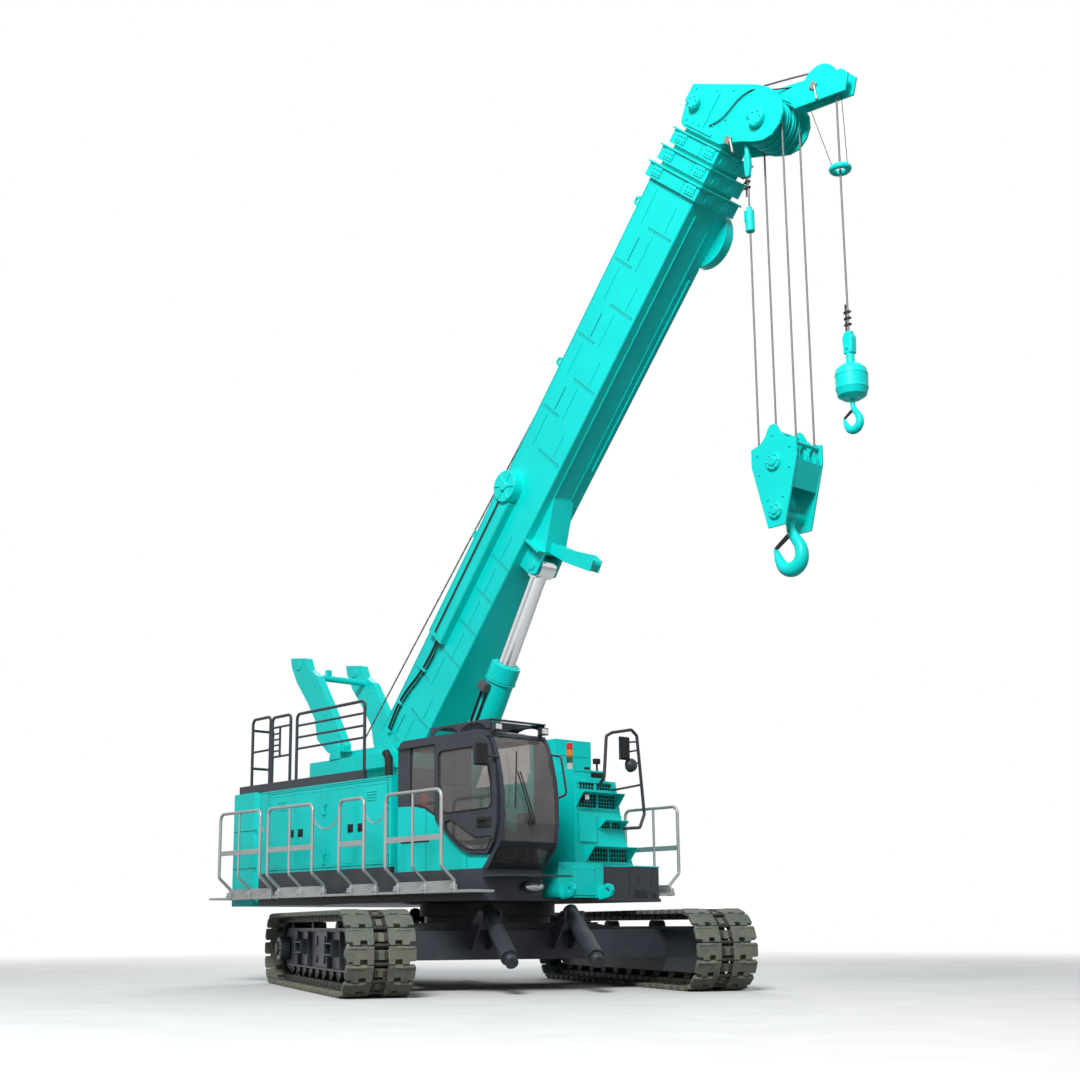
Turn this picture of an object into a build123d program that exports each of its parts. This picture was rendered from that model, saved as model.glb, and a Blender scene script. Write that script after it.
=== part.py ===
"""Telescopic crawler crane, as separate sub-parts with real joints.

Millimetres. +X is the way the boom points, +Y the machine's left, +Z up, and the
origin is on the slew axis at the ground. The undercarriage is built facing +X and
then turned about the slew axis to the heading it stands at.
"""
import os
from math import atan2, cos, degrees, hypot, pi, radians, sin

from build123d import *

# ---- driving dimensions -------------------------------------------------------

FIT = 0.3            # running gap between faces that turn or slide on each other
CLEAR = 8.0          # gap round anything that swings

# undercarriage, in its own heading
TRAVEL_TURN = -22.6  # heading of the tracks about the slew axis, degrees
GAUGE = 4040.0
SHOE_WIDTH = 760.0
TRACK_LENGTH = 5420.0
TRACK_HEIGHT = 930.0
SHOE_COUNT = 58
SHOE_THICK = 45.0
SHOE_NOTCH = 26.0    # depth of the gap between two shoes
SHOE_GAP = 22.0
LINK_THICK = 75.0
LINK_WIDTH = 300.0
WHEEL_WIDTH = 150.0
WHEEL_GAP = 9.0      # between a turning wheel and the inside of the links
SIDE_PLATE = 36.0
SIDE_PLATE_HEIGHT = 540.0
LOWER_ROLLERS = 9
LOWER_ROLLER_R = 105.0
UPPER_ROLLERS = 2
UPPER_ROLLER_R = 75.0
AXLE_R = 55.0
CAR_BODY_HALF = 1080.0
CAR_BODY_LOW = 380.0
CAR_BODY_TOP = 790.0
CAR_BODY_WALL = 70.0
SEAT_HIGH = 80.0     # ring seat above the centre box
BEAM_X = 1060.0      # middle of a cross beam
BEAM_THICK = 460.0
BEAM_LOW = 360.0
BEAM_TOP = 700.0
RING_R = 860.0
RING_TOP = 1025.0
JACK_Y = 510.0
JACK_PIN = (1720.0, 860.0)
JACK_TILT = 33.0     # stowed, below the horizontal, degrees
JACK_LENGTH = 950.0
JACK_HEAD = 110.0    # from the pin back to the closed end
JACK_R = 92.0
JACK_EAR = 24.0
JACK_PIN_R = 38.0

# upper works
DECK_LOW = 1035.0
DECK_PLATE = 40.0
DECK_TOP = DECK_LOW + DECK_PLATE
DECK_HALF = 1500.0
DECK_REAR = -3100.0
DECK_FRONT = 1620.0
SILL_TOP = 1467.0
CAB_SILL_TOP = 1393.0
SILL_THICK = 60.0
WEB_Y = 330.0        # inner face of each web
WEB_THICK = 40.0
NOSE_FRONT = 1740.0
NOSE_TOP = 1490.0
BALLAST_REAR = -3860.0
BALLAST_FRONT = -3200.0
BALLAST_TOP = 2600.0

BALLAST_CORNER = 60.0
WEB_TOP = 3200.0
CAB_BASE_FRONT = 1700.0
FRONT_BOX_X = 1590.0
FRONT_BOX_TOP = 1460.0
BATTERY_IN = 970.0
NOSE_LUG = ((1740.0, 1052.0), (1740.0, 1200.0), (1874.0, 1245.0), (1945.0, 1222.0), (1965.0, 1165.0), (1940.0, 1095.0), (1888.0, 1075.0))
GANTRY_PIN = (-2650.0, 3260.0)
GANTRY_BEAM = (-3300.0, -1420.0, 2870.0, 3075.0)   # rear, front, bottom, top
# lifting arm seen from the side, X and Z
GANTRY_ARM = ((-3887.0, 4705.0), (-3478.0, 4650.0), (-3400.0, 4480.0), (-3170.0, 4345.0), (-2840.0, 3870.0), (-2440.0, 3260.0),
              (-2470.0, 3175.0), (-2850.0, 3185.0), (-3140.0, 3407.0), (-3208.0, 3706.0), (-3401.0, 3964.0), (-3708.0, 4316.0),
              (-3854.0, 4563.0))
GANTRY_PIN_R = 45.0
GANTRY_Y = 500.0
# hoist drums: x, z, flange radius
DRUMS = ((-2780.0, 2350.0, 340.0), (-2600.0, 1560.0, 320.0))
DRUM_SHAFT_R = 60.0
# engine: x and y spans
ENGINE = ((-2300.0, -1200.0), (-1250.0, -700.0))
ENGINE_HIGH = 830.0

# machinery house on the right
HOUSE_REAR = -3095.0
HOUSE_FRONT = -50.0
HOUSE_IN = -470.0
HOUSE_TOP = 2585.0
SKIN = 30.0
DOOR_WIDTH = 668.0
DOOR_SEAM = 10.0
DOOR_FIRST = -2860.0
DOOR_PITCH = 690.0
DOOR_COUNT = 4
DOOR_GAP = 6.0
HINGE_Y = -DECK_HALF - 16
HINGE_Z = (1700.0, 2340.0)
HINGE_STAGGER = 110.0
HINGE_LONG = 45.0    # from the hinge's middle to the end of its lugs
HINGE_R = 13.0
HINGE_PIN_R = 7.0
DOOR_LOW = 1500.0
DOOR_TOP = 2540.0

# machinery house on the left
TOWER_IN = 440.0
TOWER_REAR = -3095.0
TOWER_FRONT = 1180.0
TOWER_TOP = 2480.0

TOWER_BACK = 300.0
STEP_FRONT = 1150.0
TANK_FRONT = 800.0
TANK_TOP = 3110.0
# tower seen from the front, Y and Z
TOWER_SIDE = ((440.0, DECK_TOP), (440.0, 2560.0), (1170.0, 2560.0), (1240.0, 2200.0), (1330.0, 1850.0), (1480.0, SILL_TOP),
              (1440.0, SILL_TOP), (1440.0, DECK_TOP))
HOOD_SHEET = 8.0
GRILLE_PITCH = 48.0
# intakes on the tower's front: inner and outer side, bottom, top, reach of the hood
HOODS = (
    (470.0, 1120.0, 2430.0, 2545.0, 0.0),
    (455.0, 1190.0, 2200.0, 2400.0, 150.0),
    (850.0, 1270.0, 1950.0, 2060.0, 130.0),
    (620.0, 1390.0, 1530.0, 1725.0, 160.0),
)

# cab
CAB_REAR = 30.0
CAB_DOOR_THICK = 35.0
CAB_OUT = -DECK_HALF + CAB_DOOR_THICK + 8
CAB_IN = -580.0
CAB_FLOOR = CAB_SILL_TOP
CAB_WALL = 50.0
GLASS = 8.0
CAB_DOOR_TOP = 2885.0
CAB_RUNNER = 24.0
DOOR_LAP = 55.0
PILLAR = 45.0
FENDER_THICK = 10.0
CAB_TOP = 2990.0
# cab's side outline, X and Z
CAB_OUTLINE = ((30.0, CAB_FLOOR), (30.0, 2900.0), (70.0, 2965.0), (140.0, CAB_TOP), (1560.0, CAB_TOP), (1760.0, 2945.0),
               (1830.0, 2840.0), (1900.0, 2660.0), (1960.0, 2420.0), (1990.0, 2160.0), (1988.0, 1900.0), (1960.0, 1690.0),
               (1925.0, 1630.0), (1735.0, CAB_FLOOR))
DOOR_OUTLINE = ((820.0, CAB_DOOR_TOP), (1770.0, CAB_DOOR_TOP), (1840.0, 2740.0), (1910.0, 2500.0), (1945.0, 2200.0),
                (1940.0, 1880.0), (1880.0, 1680.0), (1780.0, 1556.0), (1430.0, 1572.0), (1272.0, 1640.0), (1150.0, 1722.0),
                (986.0, 1858.0), (820.0, 1995.0))
DOOR_PANES = (
    ((890.0, 2740.0), (930.0, 2790.0), (1690.0, 2790.0), (1750.0, 2730.0), (1840.0, 2380.0), (1862.0, 2130.0),
     (1820.0, 2065.0), (1030.0, 2050.0), (905.0, 2100.0)),
    ((1015.0, 1875.0), (1165.0, 1752.0), (1285.0, 1675.0), (1440.0, 1612.0), (1760.0, 1598.0), (1845.0, 1700.0),
     (1850.0, 1745.0), (1560.0, 1745.0), (1140.0, 1965.0), (1020.0, 1955.0)),
)
REAR_PANE = ((285.0, 2200.0), (285.0, 2890.0), (765.0, 2890.0), (765.0, 2050.0), (570.0, 2150.0), (350.0, 2195.0))
INNER_PANE = (400.0, 1600.0, 1850.0, 2880.0)   # rear, front, bottom, top
SCREEN_SPANS = ((1440.0, 1625.0), (1690.0, 2900.0))
FENDER = ((31.0, CAB_FLOOR), (1640.0, CAB_FLOOR), (1780.0, 1540.0), (1423.0, 1560.0), (1265.0, 1625.0), (1144.0, 1706.0),
          (980.0, 1840.0), (774.0, 2030.0), (563.0, 2133.0), (348.0, 2175.0), (31.0, 2186.0))
GUARD_TOP = 3095.0
GUARD_SPAN = (640.0, 1790.0)
GUARD_BARS = 7
CAB_STEP_LOW = 1296.0
CAB_STEP_IN = 570.0
STACK_AT = (1050.0, 490.0)
STEP_TOP = 2690.0

# walkways
WALK_HALF = 1830.0
WALK_LOW = 1120.0
WALK_THICK = 30.0
TOE_TOP = 1255.0
RAIL_Y = 2000.0
RAIL_TOP = 2270.0
RAIL_MID = 1735.0
RAIL_KINK = 1410.0
RAIL_R = 21.0
# rail frames: rear post, front post, middle post or None
RIGHT_RAILS = (
    (-3300.0, -2260.0, -2800.0),
    (-2070.0, -1020.0, -1550.0),
    (-430.0, 90.0, None),
    (530.0, 1580.0, 1050.0),
)
LEFT_RAILS = (
    (-3300.0, -2260.0, -2800.0),
    (-2070.0, -1020.0, -1550.0),
    (-430.0, 90.0, None),
    (530.0, 1480.0, 1050.0),
)
ROOF_RAIL_Y = -1420.0
KERB = 125.0
# roof rail frames: rear post, front post, top, heights of the bars between
ROOF_FRAMES = (
    (-3480.0, -3010.0, 3650.0, (3185.0,)),
    (-2960.0, -2490.0, 3625.0, (3070.0, 3480.0)),
    (-2330.0, -740.0, 3605.0, (3130.0, 3285.0, 3445.0)),
)

# boom, in its own frame: a runs along it from the foot pin, b is square to it
LUFF = 48.8          # elevation it stands at, degrees
FOOT = (-1900.0, 3000.0)
FOOT_PIN_R = 75.0
BOOM_REAR = -330.0
BOOM_FRONT = 8620.0
BOOM_HALF = 280.0
BOOM_TOP_B = 320.0
BOOM_LOW_B = -580.0
BOOM_WALL = 10.0
SECTION_GAP = 22.0   # between two sections, filled by their wear pads
SECTION_STEP = 225.0
COLLAR_OUT = 55.0
COLLAR_LONG = 180.0
DUCT = (2000.0, 4150.0, -100.0, 230.0)   # hose duct's start, end, bottom, top
DUCT_DEEP = 100.0
HOSE_REEL = (4293.0, 90.0)
HOSE_REEL_R = 210.0
CABLE_REEL = (8100.0, -400.0)
CABLE_REEL_R = 350.0
CABLE_REEL_OUT = 410.0
BOOM_LUGS = (3450.0, 5980.0, 8130.0)
# arm that carries the cable guide under the boom
CABLE_ARM = ((3915.0, -640.0), (4000.0, -700.0), (4120.0, -1150.0), (4252.0, -1485.0), (4248.0, -1625.0), (4098.0, -1660.0),
             (3960.0, -1200.0), (3915.0, -890.0))
STROKE = 6400.0

# luffing cylinder
EYE = (3660.0, -782.0)   # rod's pin on the boom, a and b
CYL_FOOT = (-850.0, 2000.0)
ROD_R = 115.0
BARREL_R = 185.0
BARREL_BORE = 150.0
BARREL_LONG = 2418.0
EYE_R = 150.0
CYL_PIN_R = 60.0
BARREL_END = 200.0   # from the foot pin to the bore's bottom
GLAND = 100.0
PISTON_AT = 2370.0   # from the eye to the piston's far face

# boom head and rigging, x and z at the heading the boom stands at
HEAD_PIN = (9533.0, -879.0)
TIP_PIN = (10114.0, -1256.0)
SHEAVE_R = 250.0     # to the rope's middle
TIP_SHEAVE_R = 205.0
ROPE_R = 11.0
FALL_Y = 155.0
HEAD_PIN_R = 55.0
TIP_PIN_R = 35.0
HEAD_Y = 225.0       # inner face of each head plate
HEAD_THICK = 26.0
HEAD_PLATE = ((9110.0, 235.0), (9150.0, 300.0), (9430.0, 400.0), (9580.0, 400.0), (9700.0, -40.0), (9810.0, -440.0),
              (9852.0, -600.0), (9875.0, -780.0), (9862.0, -940.0), (9800.0, -1090.0), (9700.0, -1180.0), (9580.0, -1215.0),
              (9450.0, -1190.0), (9350.0, -1090.0), (9290.0, -950.0), (9240.0, -780.0), (9110.0, -470.0))
IDLER_PIN = (9400.0, 187.0)
IDLER_R = 130.0
TIP_Y = 60.0
TIP_ARM = ((9640.0, -440.0), (9870.0, -700.0), (10348.0, -1519.0), (10338.0, -1625.0), (10165.0, -1710.0),
           (9790.0, -1150.0), (9828.0, -1050.0), (9828.0, -770.0), (9640.0, -570.0))
BLOCK_PIN_Z = 5600.0
CHEEK_Y = 205.0
CHEEK_THICK = 25.0
CROSSHEAD_Z = 5040.0
CHEEK = ((-302.0, 5802.0), (-175.0, 5835.0), (-105.0, 5900.0), (-62.0, 5985.0), (-28.0, 6018.0), (28.0, 6018.0),
         (62.0, 5985.0), (105.0, 5900.0), (175.0, 5835.0), (302.0, 5802.0), (302.0, 5600.0), (112.0, 4890.0),
         (-112.0, 4890.0), (-302.0, 5600.0))
# hooks seen from the side: outer line from the shank round to the tip, then back inside
MAIN_HOOK = ((46.0, 4975.0), (70.0, 4900.0), (150.0, 4800.0), (228.0, 4735.0), (262.0, 4640.0), (248.0, 4530.0),
             (165.0, 4415.0), (20.0, 4348.0), (-95.0, 4392.0), (-175.0, 4490.0), (-208.0, 4620.0), (-234.0, 4725.0),
             (-205.0, 4742.0), (-160.0, 4668.0), (-132.0, 4600.0), (-80.0, 4535.0), (-30.0, 4528.0), (18.0, 4572.0),
             (34.0, 4640.0), (8.0, 4720.0), (-45.0, 4790.0), (-62.0, 4870.0), (-46.0, 4975.0))
BALL_HOOK_SCALE = 0.56
BALL_HOOK_LOW = 5715.0
# overhaul weight's profile, radius and height
BALL_PROFILE = ((0.0, 6105.0), (95.0, 6105.0), (148.0, 6140.0), (170.0, 6205.0), (172.0, 6370.0), (158.0, 6425.0),
                (112.0, 6470.0), (52.0, 6490.0), (45.0, 6560.0), (45.0, 6840.0), (30.0, 6850.0), (0.0, 6850.0))
ROPE_SEAT = 300.0    # how far the rope reaches into the socket

# ---- small helpers ------------------------------------------------------------


def block(x0, x1, y0, y1, z0, z1):
    """Box between two corners."""
    return Pos((x0 + x1) / 2, (y0 + y1) / 2, (z0 + z1) / 2) * Box(x1 - x0, y1 - y0, z1 - z0)


def rod(start, end, radius):
    """Round bar between two points."""
    a, b = Vector(*start), Vector(*end)
    axis = b - a
    return Plane(origin=a, z_dir=axis) * extrude(Circle(radius), axis.length)


def bar_y(x, z, y0, y1, radius):
    """Round bar along Y."""
    return rod((x, y0, z), (x, y1, z), radius)


def ring_y(x, z, y0, y1, outer, inner):
    """Round collar along Y with a hole through it."""
    return bar_y(x, z, y0, y1, outer) - bar_y(x, z, y0 - 1, y1 + 1, inner)


def plate_y(points, y0, y1):
    """Flat plate with its outline in XZ, from y0 to y1."""
    face = make_face(Polyline(*[(x, 0, z) for x, z in points], close=True))
    return Pos(0, y0, 0) * extrude(face, y1 - y0, dir=(0, 1, 0))


def plate_x(points, x0, x1):
    """Flat plate with its outline in YZ, from x0 to x1."""
    face = make_face(Polyline(*[(0, y, z) for y, z in points], close=True))
    return Pos(x0, 0, 0) * extrude(face, x1 - x0, dir=(1, 0, 0))


def rail(points, radius, bend):
    """Bent round tube through points."""
    if len(points) == 2:
        return rod(points[0], points[1], radius)
    path = FilletPolyline(*points, radius=bend)
    return sweep(Plane(origin=path @ 0, z_dir=path % 0) * Circle(radius), path=path)


def both(shape):
    """A shape and its mirror image across the middle plane."""
    return [shape, mirror(shape, Plane.XZ)]


def join(shapes):
    """One shape out of many that touch."""
    shapes = list(shapes)
    return shapes[0].fuse(*shapes[1:]) if len(shapes) > 1 else shapes[0]


def save(node, shape):
    """Write a sub-part; a list becomes one compound of separate solids."""
    if isinstance(shape, (list, tuple)):
        solids = [s for item in shape for s in item.solids()]
        shape = Compound(children=solids)
    export_step(shape, f"parts/{node}.step")


# ---- undercarriage ------------------------------------------------------------

TRACK_R = TRACK_HEIGHT / 2
SHOE_INNER_R = TRACK_R - SHOE_THICK
LINK_INNER_R = SHOE_INNER_R - LINK_THICK
WHEEL_X = TRACK_LENGTH / 2 - TRACK_R
WHEEL_R = LINK_INNER_R - WHEEL_GAP
PLATE_Y = WHEEL_WIDTH / 2 + CLEAR


def travelled(shape):
    """Turn a piece from the tracks' heading to where it stands."""
    return Rot(0, 0, TRAVEL_TURN) * shape


def loop_point(s, radius):
    """Point and heading at distance s along a track loop of the given end radius."""
    straight = 2 * WHEEL_X
    bend = pi * TRACK_R
    s = s % (2 * straight + 2 * bend)
    if s < straight:
        return (-WHEEL_X + s, TRACK_R + radius), 0.0
    s -= straight
    if s < bend:
        turn = s / TRACK_R
        return (WHEEL_X + radius * sin(turn), TRACK_R + radius * cos(turn)), -turn
    s -= bend
    if s < straight:
        return (WHEEL_X - s, TRACK_R - radius), -pi
    s -= straight
    turn = pi + s / TRACK_R
    return (-WHEEL_X + radius * sin(turn), TRACK_R + radius * cos(turn)), -turn


def stadium(radius):
    """Outline of a track loop, as a face in XZ."""
    slot = SlotOverall(2 * (WHEEL_X + radius), 2 * radius)
    return Plane(origin=(0, 0, TRACK_R), x_dir=(1, 0, 0), z_dir=(0, -1, 0)) * slot


def track(y):
    """One track: shoes with gaps between them, on a band of links."""
    loop = 4 * WHEEL_X + 2 * pi * TRACK_R
    pitch = loop / SHOE_COUNT
    outline = []
    for i in range(SHOE_COUNT):
        for offset, radius in (
            (-(pitch - SHOE_GAP) / 2, TRACK_R - SHOE_NOTCH),
            (-(pitch - SHOE_GAP) / 2, TRACK_R),
            ((pitch - SHOE_GAP) / 2, TRACK_R),
            ((pitch - SHOE_GAP) / 2, TRACK_R - SHOE_NOTCH),
        ):
            point, _ = loop_point((i + 0.5) * pitch + offset, radius)
            outline.append((point[0], 0, point[1]))
    shoes = extrude(make_face(Polyline(*outline, close=True)) - stadium(SHOE_INNER_R), SHOE_WIDTH, dir=(0, 1, 0))
    links = extrude(stadium(SHOE_INNER_R) - stadium(LINK_INNER_R), LINK_WIDTH, dir=(0, 1, 0))
    return Pos(0, y - SHOE_WIDTH / 2, 0) * shoes + Pos(0, y - LINK_WIDTH / 2, 0) * links


def track_frame(y):
    """Side frame: two long plates joined by a box, with the wheels' axles in its ends."""
    slot = SlotOverall(2 * WHEEL_X + SIDE_PLATE_HEIGHT, SIDE_PLATE_HEIGHT)
    face = Plane(origin=(0, 0, TRACK_R), x_dir=(1, 0, 0), z_dir=(0, -1, 0)) * slot
    plate = extrude(face, SIDE_PLATE, dir=(0, 1, 0))
    plates = [Pos(0, y + PLATE_Y, 0) * plate, Pos(0, y - PLATE_Y - SIDE_PLATE, 0) * plate]
    inside = WHEEL_X - WHEEL_R - 40
    web = block(-inside, inside, y - PLATE_Y, y + PLATE_Y, TRACK_R - 75, TRACK_R + 130)
    axles = [
        bar_y(side * WHEEL_X, TRACK_R, y - PLATE_Y - SIDE_PLATE - 30, y + PLATE_Y + SIDE_PLATE + 30, AXLE_R)
        for side in (-1, 1)
    ]
    return join(plates + [web] + axles)


def track_rollers(y):
    """Rollers under and over the side frame, each held by its axle."""
    rollers = []
    reach = WHEEL_X - WHEEL_R - 130
    for i in range(LOWER_ROLLERS):
        x = -reach + 2 * reach * i / (LOWER_ROLLERS - 1)
        z = TRACK_R - LINK_INNER_R + FIT + LOWER_ROLLER_R
        rollers.append(bar_y(x, z, y - PLATE_Y, y + PLATE_Y, LOWER_ROLLER_R))
    for i in range(UPPER_ROLLERS):
        x = (i - (UPPER_ROLLERS - 1) / 2) * 1500
        z = TRACK_R + LINK_INNER_R - FIT - UPPER_ROLLER_R
        rollers.append(bar_y(x, z, y - PLATE_Y, y + PLATE_Y, UPPER_ROLLER_R))
    return rollers


def track_wheel(x, y):
    """Drive wheel or idler on its axle."""
    rim = bar_y(x, TRACK_R, y - WHEEL_WIDTH / 2, y + WHEEL_WIDTH / 2, WHEEL_R)
    return rim - bar_y(x, TRACK_R, y - WHEEL_WIDTH, y + WHEEL_WIDTH, AXLE_R + FIT)


def car_body():
    """Hollow centre box under the slew ring, with cross beams and the jacks' brackets."""
    half, wall = CAR_BODY_HALF, CAR_BODY_WALL
    reach = GAUGE / 2 - PLATE_Y - SIDE_PLATE
    box = block(-half, half, -half, half, CAR_BODY_LOW, CAR_BODY_TOP)
    beams = []
    for x in (-BEAM_X, BEAM_X):
        beams.append(block(x - BEAM_THICK / 2, x + BEAM_THICK / 2, -reach, reach, BEAM_LOW, BEAM_TOP))
    seat = Pos(0, 0, CAR_BODY_TOP) * extrude(Circle(RING_R - 60), SEAT_HIGH)
    inner = half - wall
    hollow = block(-inner, inner, -inner, inner, CAR_BODY_LOW + wall, CAR_BODY_TOP - wall)
    return join([box, seat] + beams) - hollow + join(jack_bracket(sx, sy) for sx in (-1, 1) for sy in (-1, 1))


def jack_bracket(sx, sy):
    """Two ears and a cross pin that a transport jack swings on."""
    px, pz = JACK_PIN
    face = BEAM_X + BEAM_THICK / 2
    outline = [(face - 20, BEAM_LOW + 120), (face - 20, BEAM_TOP), (px - 70, pz + 60), (px + 60, pz + 60),
               (px + 60, pz - 60), (face + 120, BEAM_LOW + 120)]
    ears = []
    for y in (JACK_Y + JACK_R + CLEAR, JACK_Y - JACK_R - CLEAR - JACK_EAR):
        ears.append(plate_y(outline, y, y + JACK_EAR))
    pin = bar_y(px, pz, JACK_Y - JACK_R - CLEAR - JACK_EAR, JACK_Y + JACK_R + CLEAR + JACK_EAR, JACK_PIN_R)
    bracket = join(ears + [pin])
    if sx < 0:
        bracket = mirror(bracket, Plane.YZ)
    return bracket if sy > 0 else mirror(bracket, Plane.XZ)


def slew_ring():
    """Toothed lower ring that the upper works turn on."""
    low = CAR_BODY_TOP + SEAT_HIGH
    outer = Pos(0, 0, low) * extrude(Circle(RING_R), RING_TOP - low)
    hole = Pos(0, 0, CAR_BODY_TOP) * extrude(Circle(RING_R - 180), 500)
    return outer - hole


def jack(sx, sy):
    """Transport jack, stowed: closed end up, foot down and outwards."""
    tilt = radians(JACK_TILT)
    ax, az = cos(tilt), -sin(tilt)
    px, pz = JACK_PIN

    def at(d):
        return (px + ax * d, JACK_Y * sy, pz + az * d)

    barrel = rod(at(-JACK_HEAD), at(JACK_LENGTH * 0.45), JACK_R)
    sleeve = rod(at(JACK_LENGTH * 0.45), at(JACK_LENGTH - 110), JACK_R + 9)
    foot = rod(at(JACK_LENGTH - 110), at(JACK_LENGTH - 100), 50)
    ball = Pos(*at(JACK_LENGTH - 85)) * Sphere(70)
    eye = bar_y(px, pz, JACK_Y * sy - JACK_R, JACK_Y * sy + JACK_R, JACK_PIN_R + FIT)
    body = join([barrel, sleeve, foot, ball]) - eye
    return body if sx > 0 else mirror(body, Plane.YZ)


def make_undercarriage():
    save("car_body", travelled(car_body()))
    save("slew_ring", travelled(slew_ring()))
    for side, y in (("left", GAUGE / 2), ("right", -GAUGE / 2)):
        save(f"track_{side}", travelled(track(y)))
        save(f"track_frame_{side}", travelled(track_frame(y)))
        save(f"track_rollers_{side}", [travelled(r) for r in track_rollers(y)])
        save(f"drive_wheel_{side}", travelled(track_wheel(-WHEEL_X, y)))
        save(f"idler_{side}", travelled(track_wheel(WHEEL_X, y)))
    for end, sx in (("front", 1), ("rear", -1)):
        for side, sy in (("left", 1), ("right", -1)):
            save(f"jack_{end}_{side}", travelled(jack(sx, sy)))


# ---- upper works --------------------------------------------------------------

WEB_OUT = WEB_Y + WEB_THICK


def revolving_frame():
    """Two webs on the deck that carry the boom's foot pin, with the nose plate between."""
    outline = [(DECK_REAR, DECK_TOP), (DECK_REAR, 2300), (-2900, 3080), (-2850, WEB_TOP), (-1600, WEB_TOP),
               (-1450, 3050), (-700, 2250), (600, NOSE_TOP), (NOSE_FRONT, NOSE_TOP), (NOSE_FRONT, DECK_TOP)]
    parts = both(plate_y(outline, WEB_Y, WEB_OUT))
    parts.append(block(NOSE_FRONT - 40, NOSE_FRONT, -WEB_Y, WEB_Y, DECK_TOP, NOSE_TOP))
    parts.append(block(900, NOSE_FRONT, -WEB_Y, WEB_Y, NOSE_TOP - 30, NOSE_TOP))
    parts.append(block(DECK_REAR, DECK_REAR + 40, -WEB_Y, WEB_Y, DECK_TOP, 2100))
    lug = plate_y(NOSE_LUG, WEB_Y - 40, WEB_Y) - bar_y(NOSE_FRONT + 140, 1165, 0, WEB_Y, 32)
    parts += both(lug)
    parts += both(block(GANTRY_BEAM[0], GANTRY_BEAM[1], WEB_OUT, GANTRY_Y + 70, GANTRY_BEAM[2], GANTRY_BEAM[3]))
    px, pz = GANTRY_PIN
    ear = [(px - 130, GANTRY_BEAM[3]), (px + 130, GANTRY_BEAM[3]), (px + 70, pz + 60), (px - 70, pz + 60)]
    for y in (WEB_OUT, GANTRY_Y + 68):
        parts += both(plate_y(ear, y, y + 22))
    parts.append(bar_y(*FOOT, -WEB_OUT - 60, WEB_OUT + 60, FOOT_PIN_R))
    parts += both(bar_y(*FOOT, WEB_Y - 8, WEB_OUT + 45, 150))
    parts += both(bar_y(*CYL_FOOT, 198, WEB_Y, 105))
    parts += both(bar_y(*GANTRY_PIN, WEB_Y, GANTRY_Y + 70, GANTRY_PIN_R))
    for x, z, radius in DRUMS:
        parts.append(bar_y(x, z, -WEB_Y, WEB_Y, DRUM_SHAFT_R))
    return join(parts)


def deck():
    """Deck plate with the sills along its edges and the cab's base."""
    inner = DECK_HALF - SILL_THICK
    parts = [
        block(DECK_REAR, DECK_FRONT, -DECK_HALF, DECK_HALF, DECK_LOW, DECK_TOP),
        block(DECK_REAR, HOUSE_FRONT, -DECK_HALF, -inner, DECK_TOP, SILL_TOP),
        block(HOUSE_FRONT, CAB_BASE_FRONT, -DECK_HALF, -inner, DECK_TOP, CAB_SILL_TOP),
        block(CAB_BASE_FRONT - SILL_THICK, CAB_BASE_FRONT, -inner, CAB_IN, DECK_TOP, CAB_SILL_TOP),
        block(DECK_FRONT - 100, CAB_BASE_FRONT, -DECK_HALF, CAB_IN, DECK_LOW, DECK_TOP),
        block(DECK_REAR, TOWER_FRONT, inner, DECK_HALF, DECK_TOP, SILL_TOP),
        block(TOWER_FRONT + 5, FRONT_BOX_X, WEB_OUT + 5, BATTERY_IN - 5, DECK_TOP, FRONT_BOX_TOP),
        Pos(0, 0, RING_TOP + FIT) * extrude(Circle(RING_R - 60), DECK_LOW - RING_TOP - FIT),
    ]
    return join(parts)


def counterweight():
    """Cast ballast across the tail, with a tongue to the frame."""
    c = BALLAST_CORNER
    outline = [(BALLAST_REAR, -DECK_HALF + c), (BALLAST_REAR + c, -DECK_HALF), (BALLAST_FRONT - c, -DECK_HALF),
               (BALLAST_FRONT, -DECK_HALF + c), (BALLAST_FRONT, DECK_HALF - c), (BALLAST_FRONT - c, DECK_HALF),
               (BALLAST_REAR + c, DECK_HALF), (BALLAST_REAR, DECK_HALF - c)]
    mass = Pos(0, 0, DECK_LOW) * extrude(make_face(Polyline(*outline, close=True)), BALLAST_TOP - DECK_LOW)
    return mass + block(BALLAST_FRONT, DECK_REAR, -800, 800, DECK_TOP + 100, 2050)


def house_shell(x0, x1, y0, y1, top):
    """Thin-walled housing, open below, standing on the deck."""
    outer = block(x0, x1, y0, y1, DECK_TOP, top)
    return outer - block(x0 + SKIN, x1 - SKIN, y0 + SKIN, y1 - SKIN, DECK_TOP - 1, top - SKIN)


def door_span(index):
    """Front and rear ends of an engine-house door."""
    rear = DOOR_FIRST + index * DOOR_PITCH
    return rear, rear + DOOR_WIDTH


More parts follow.
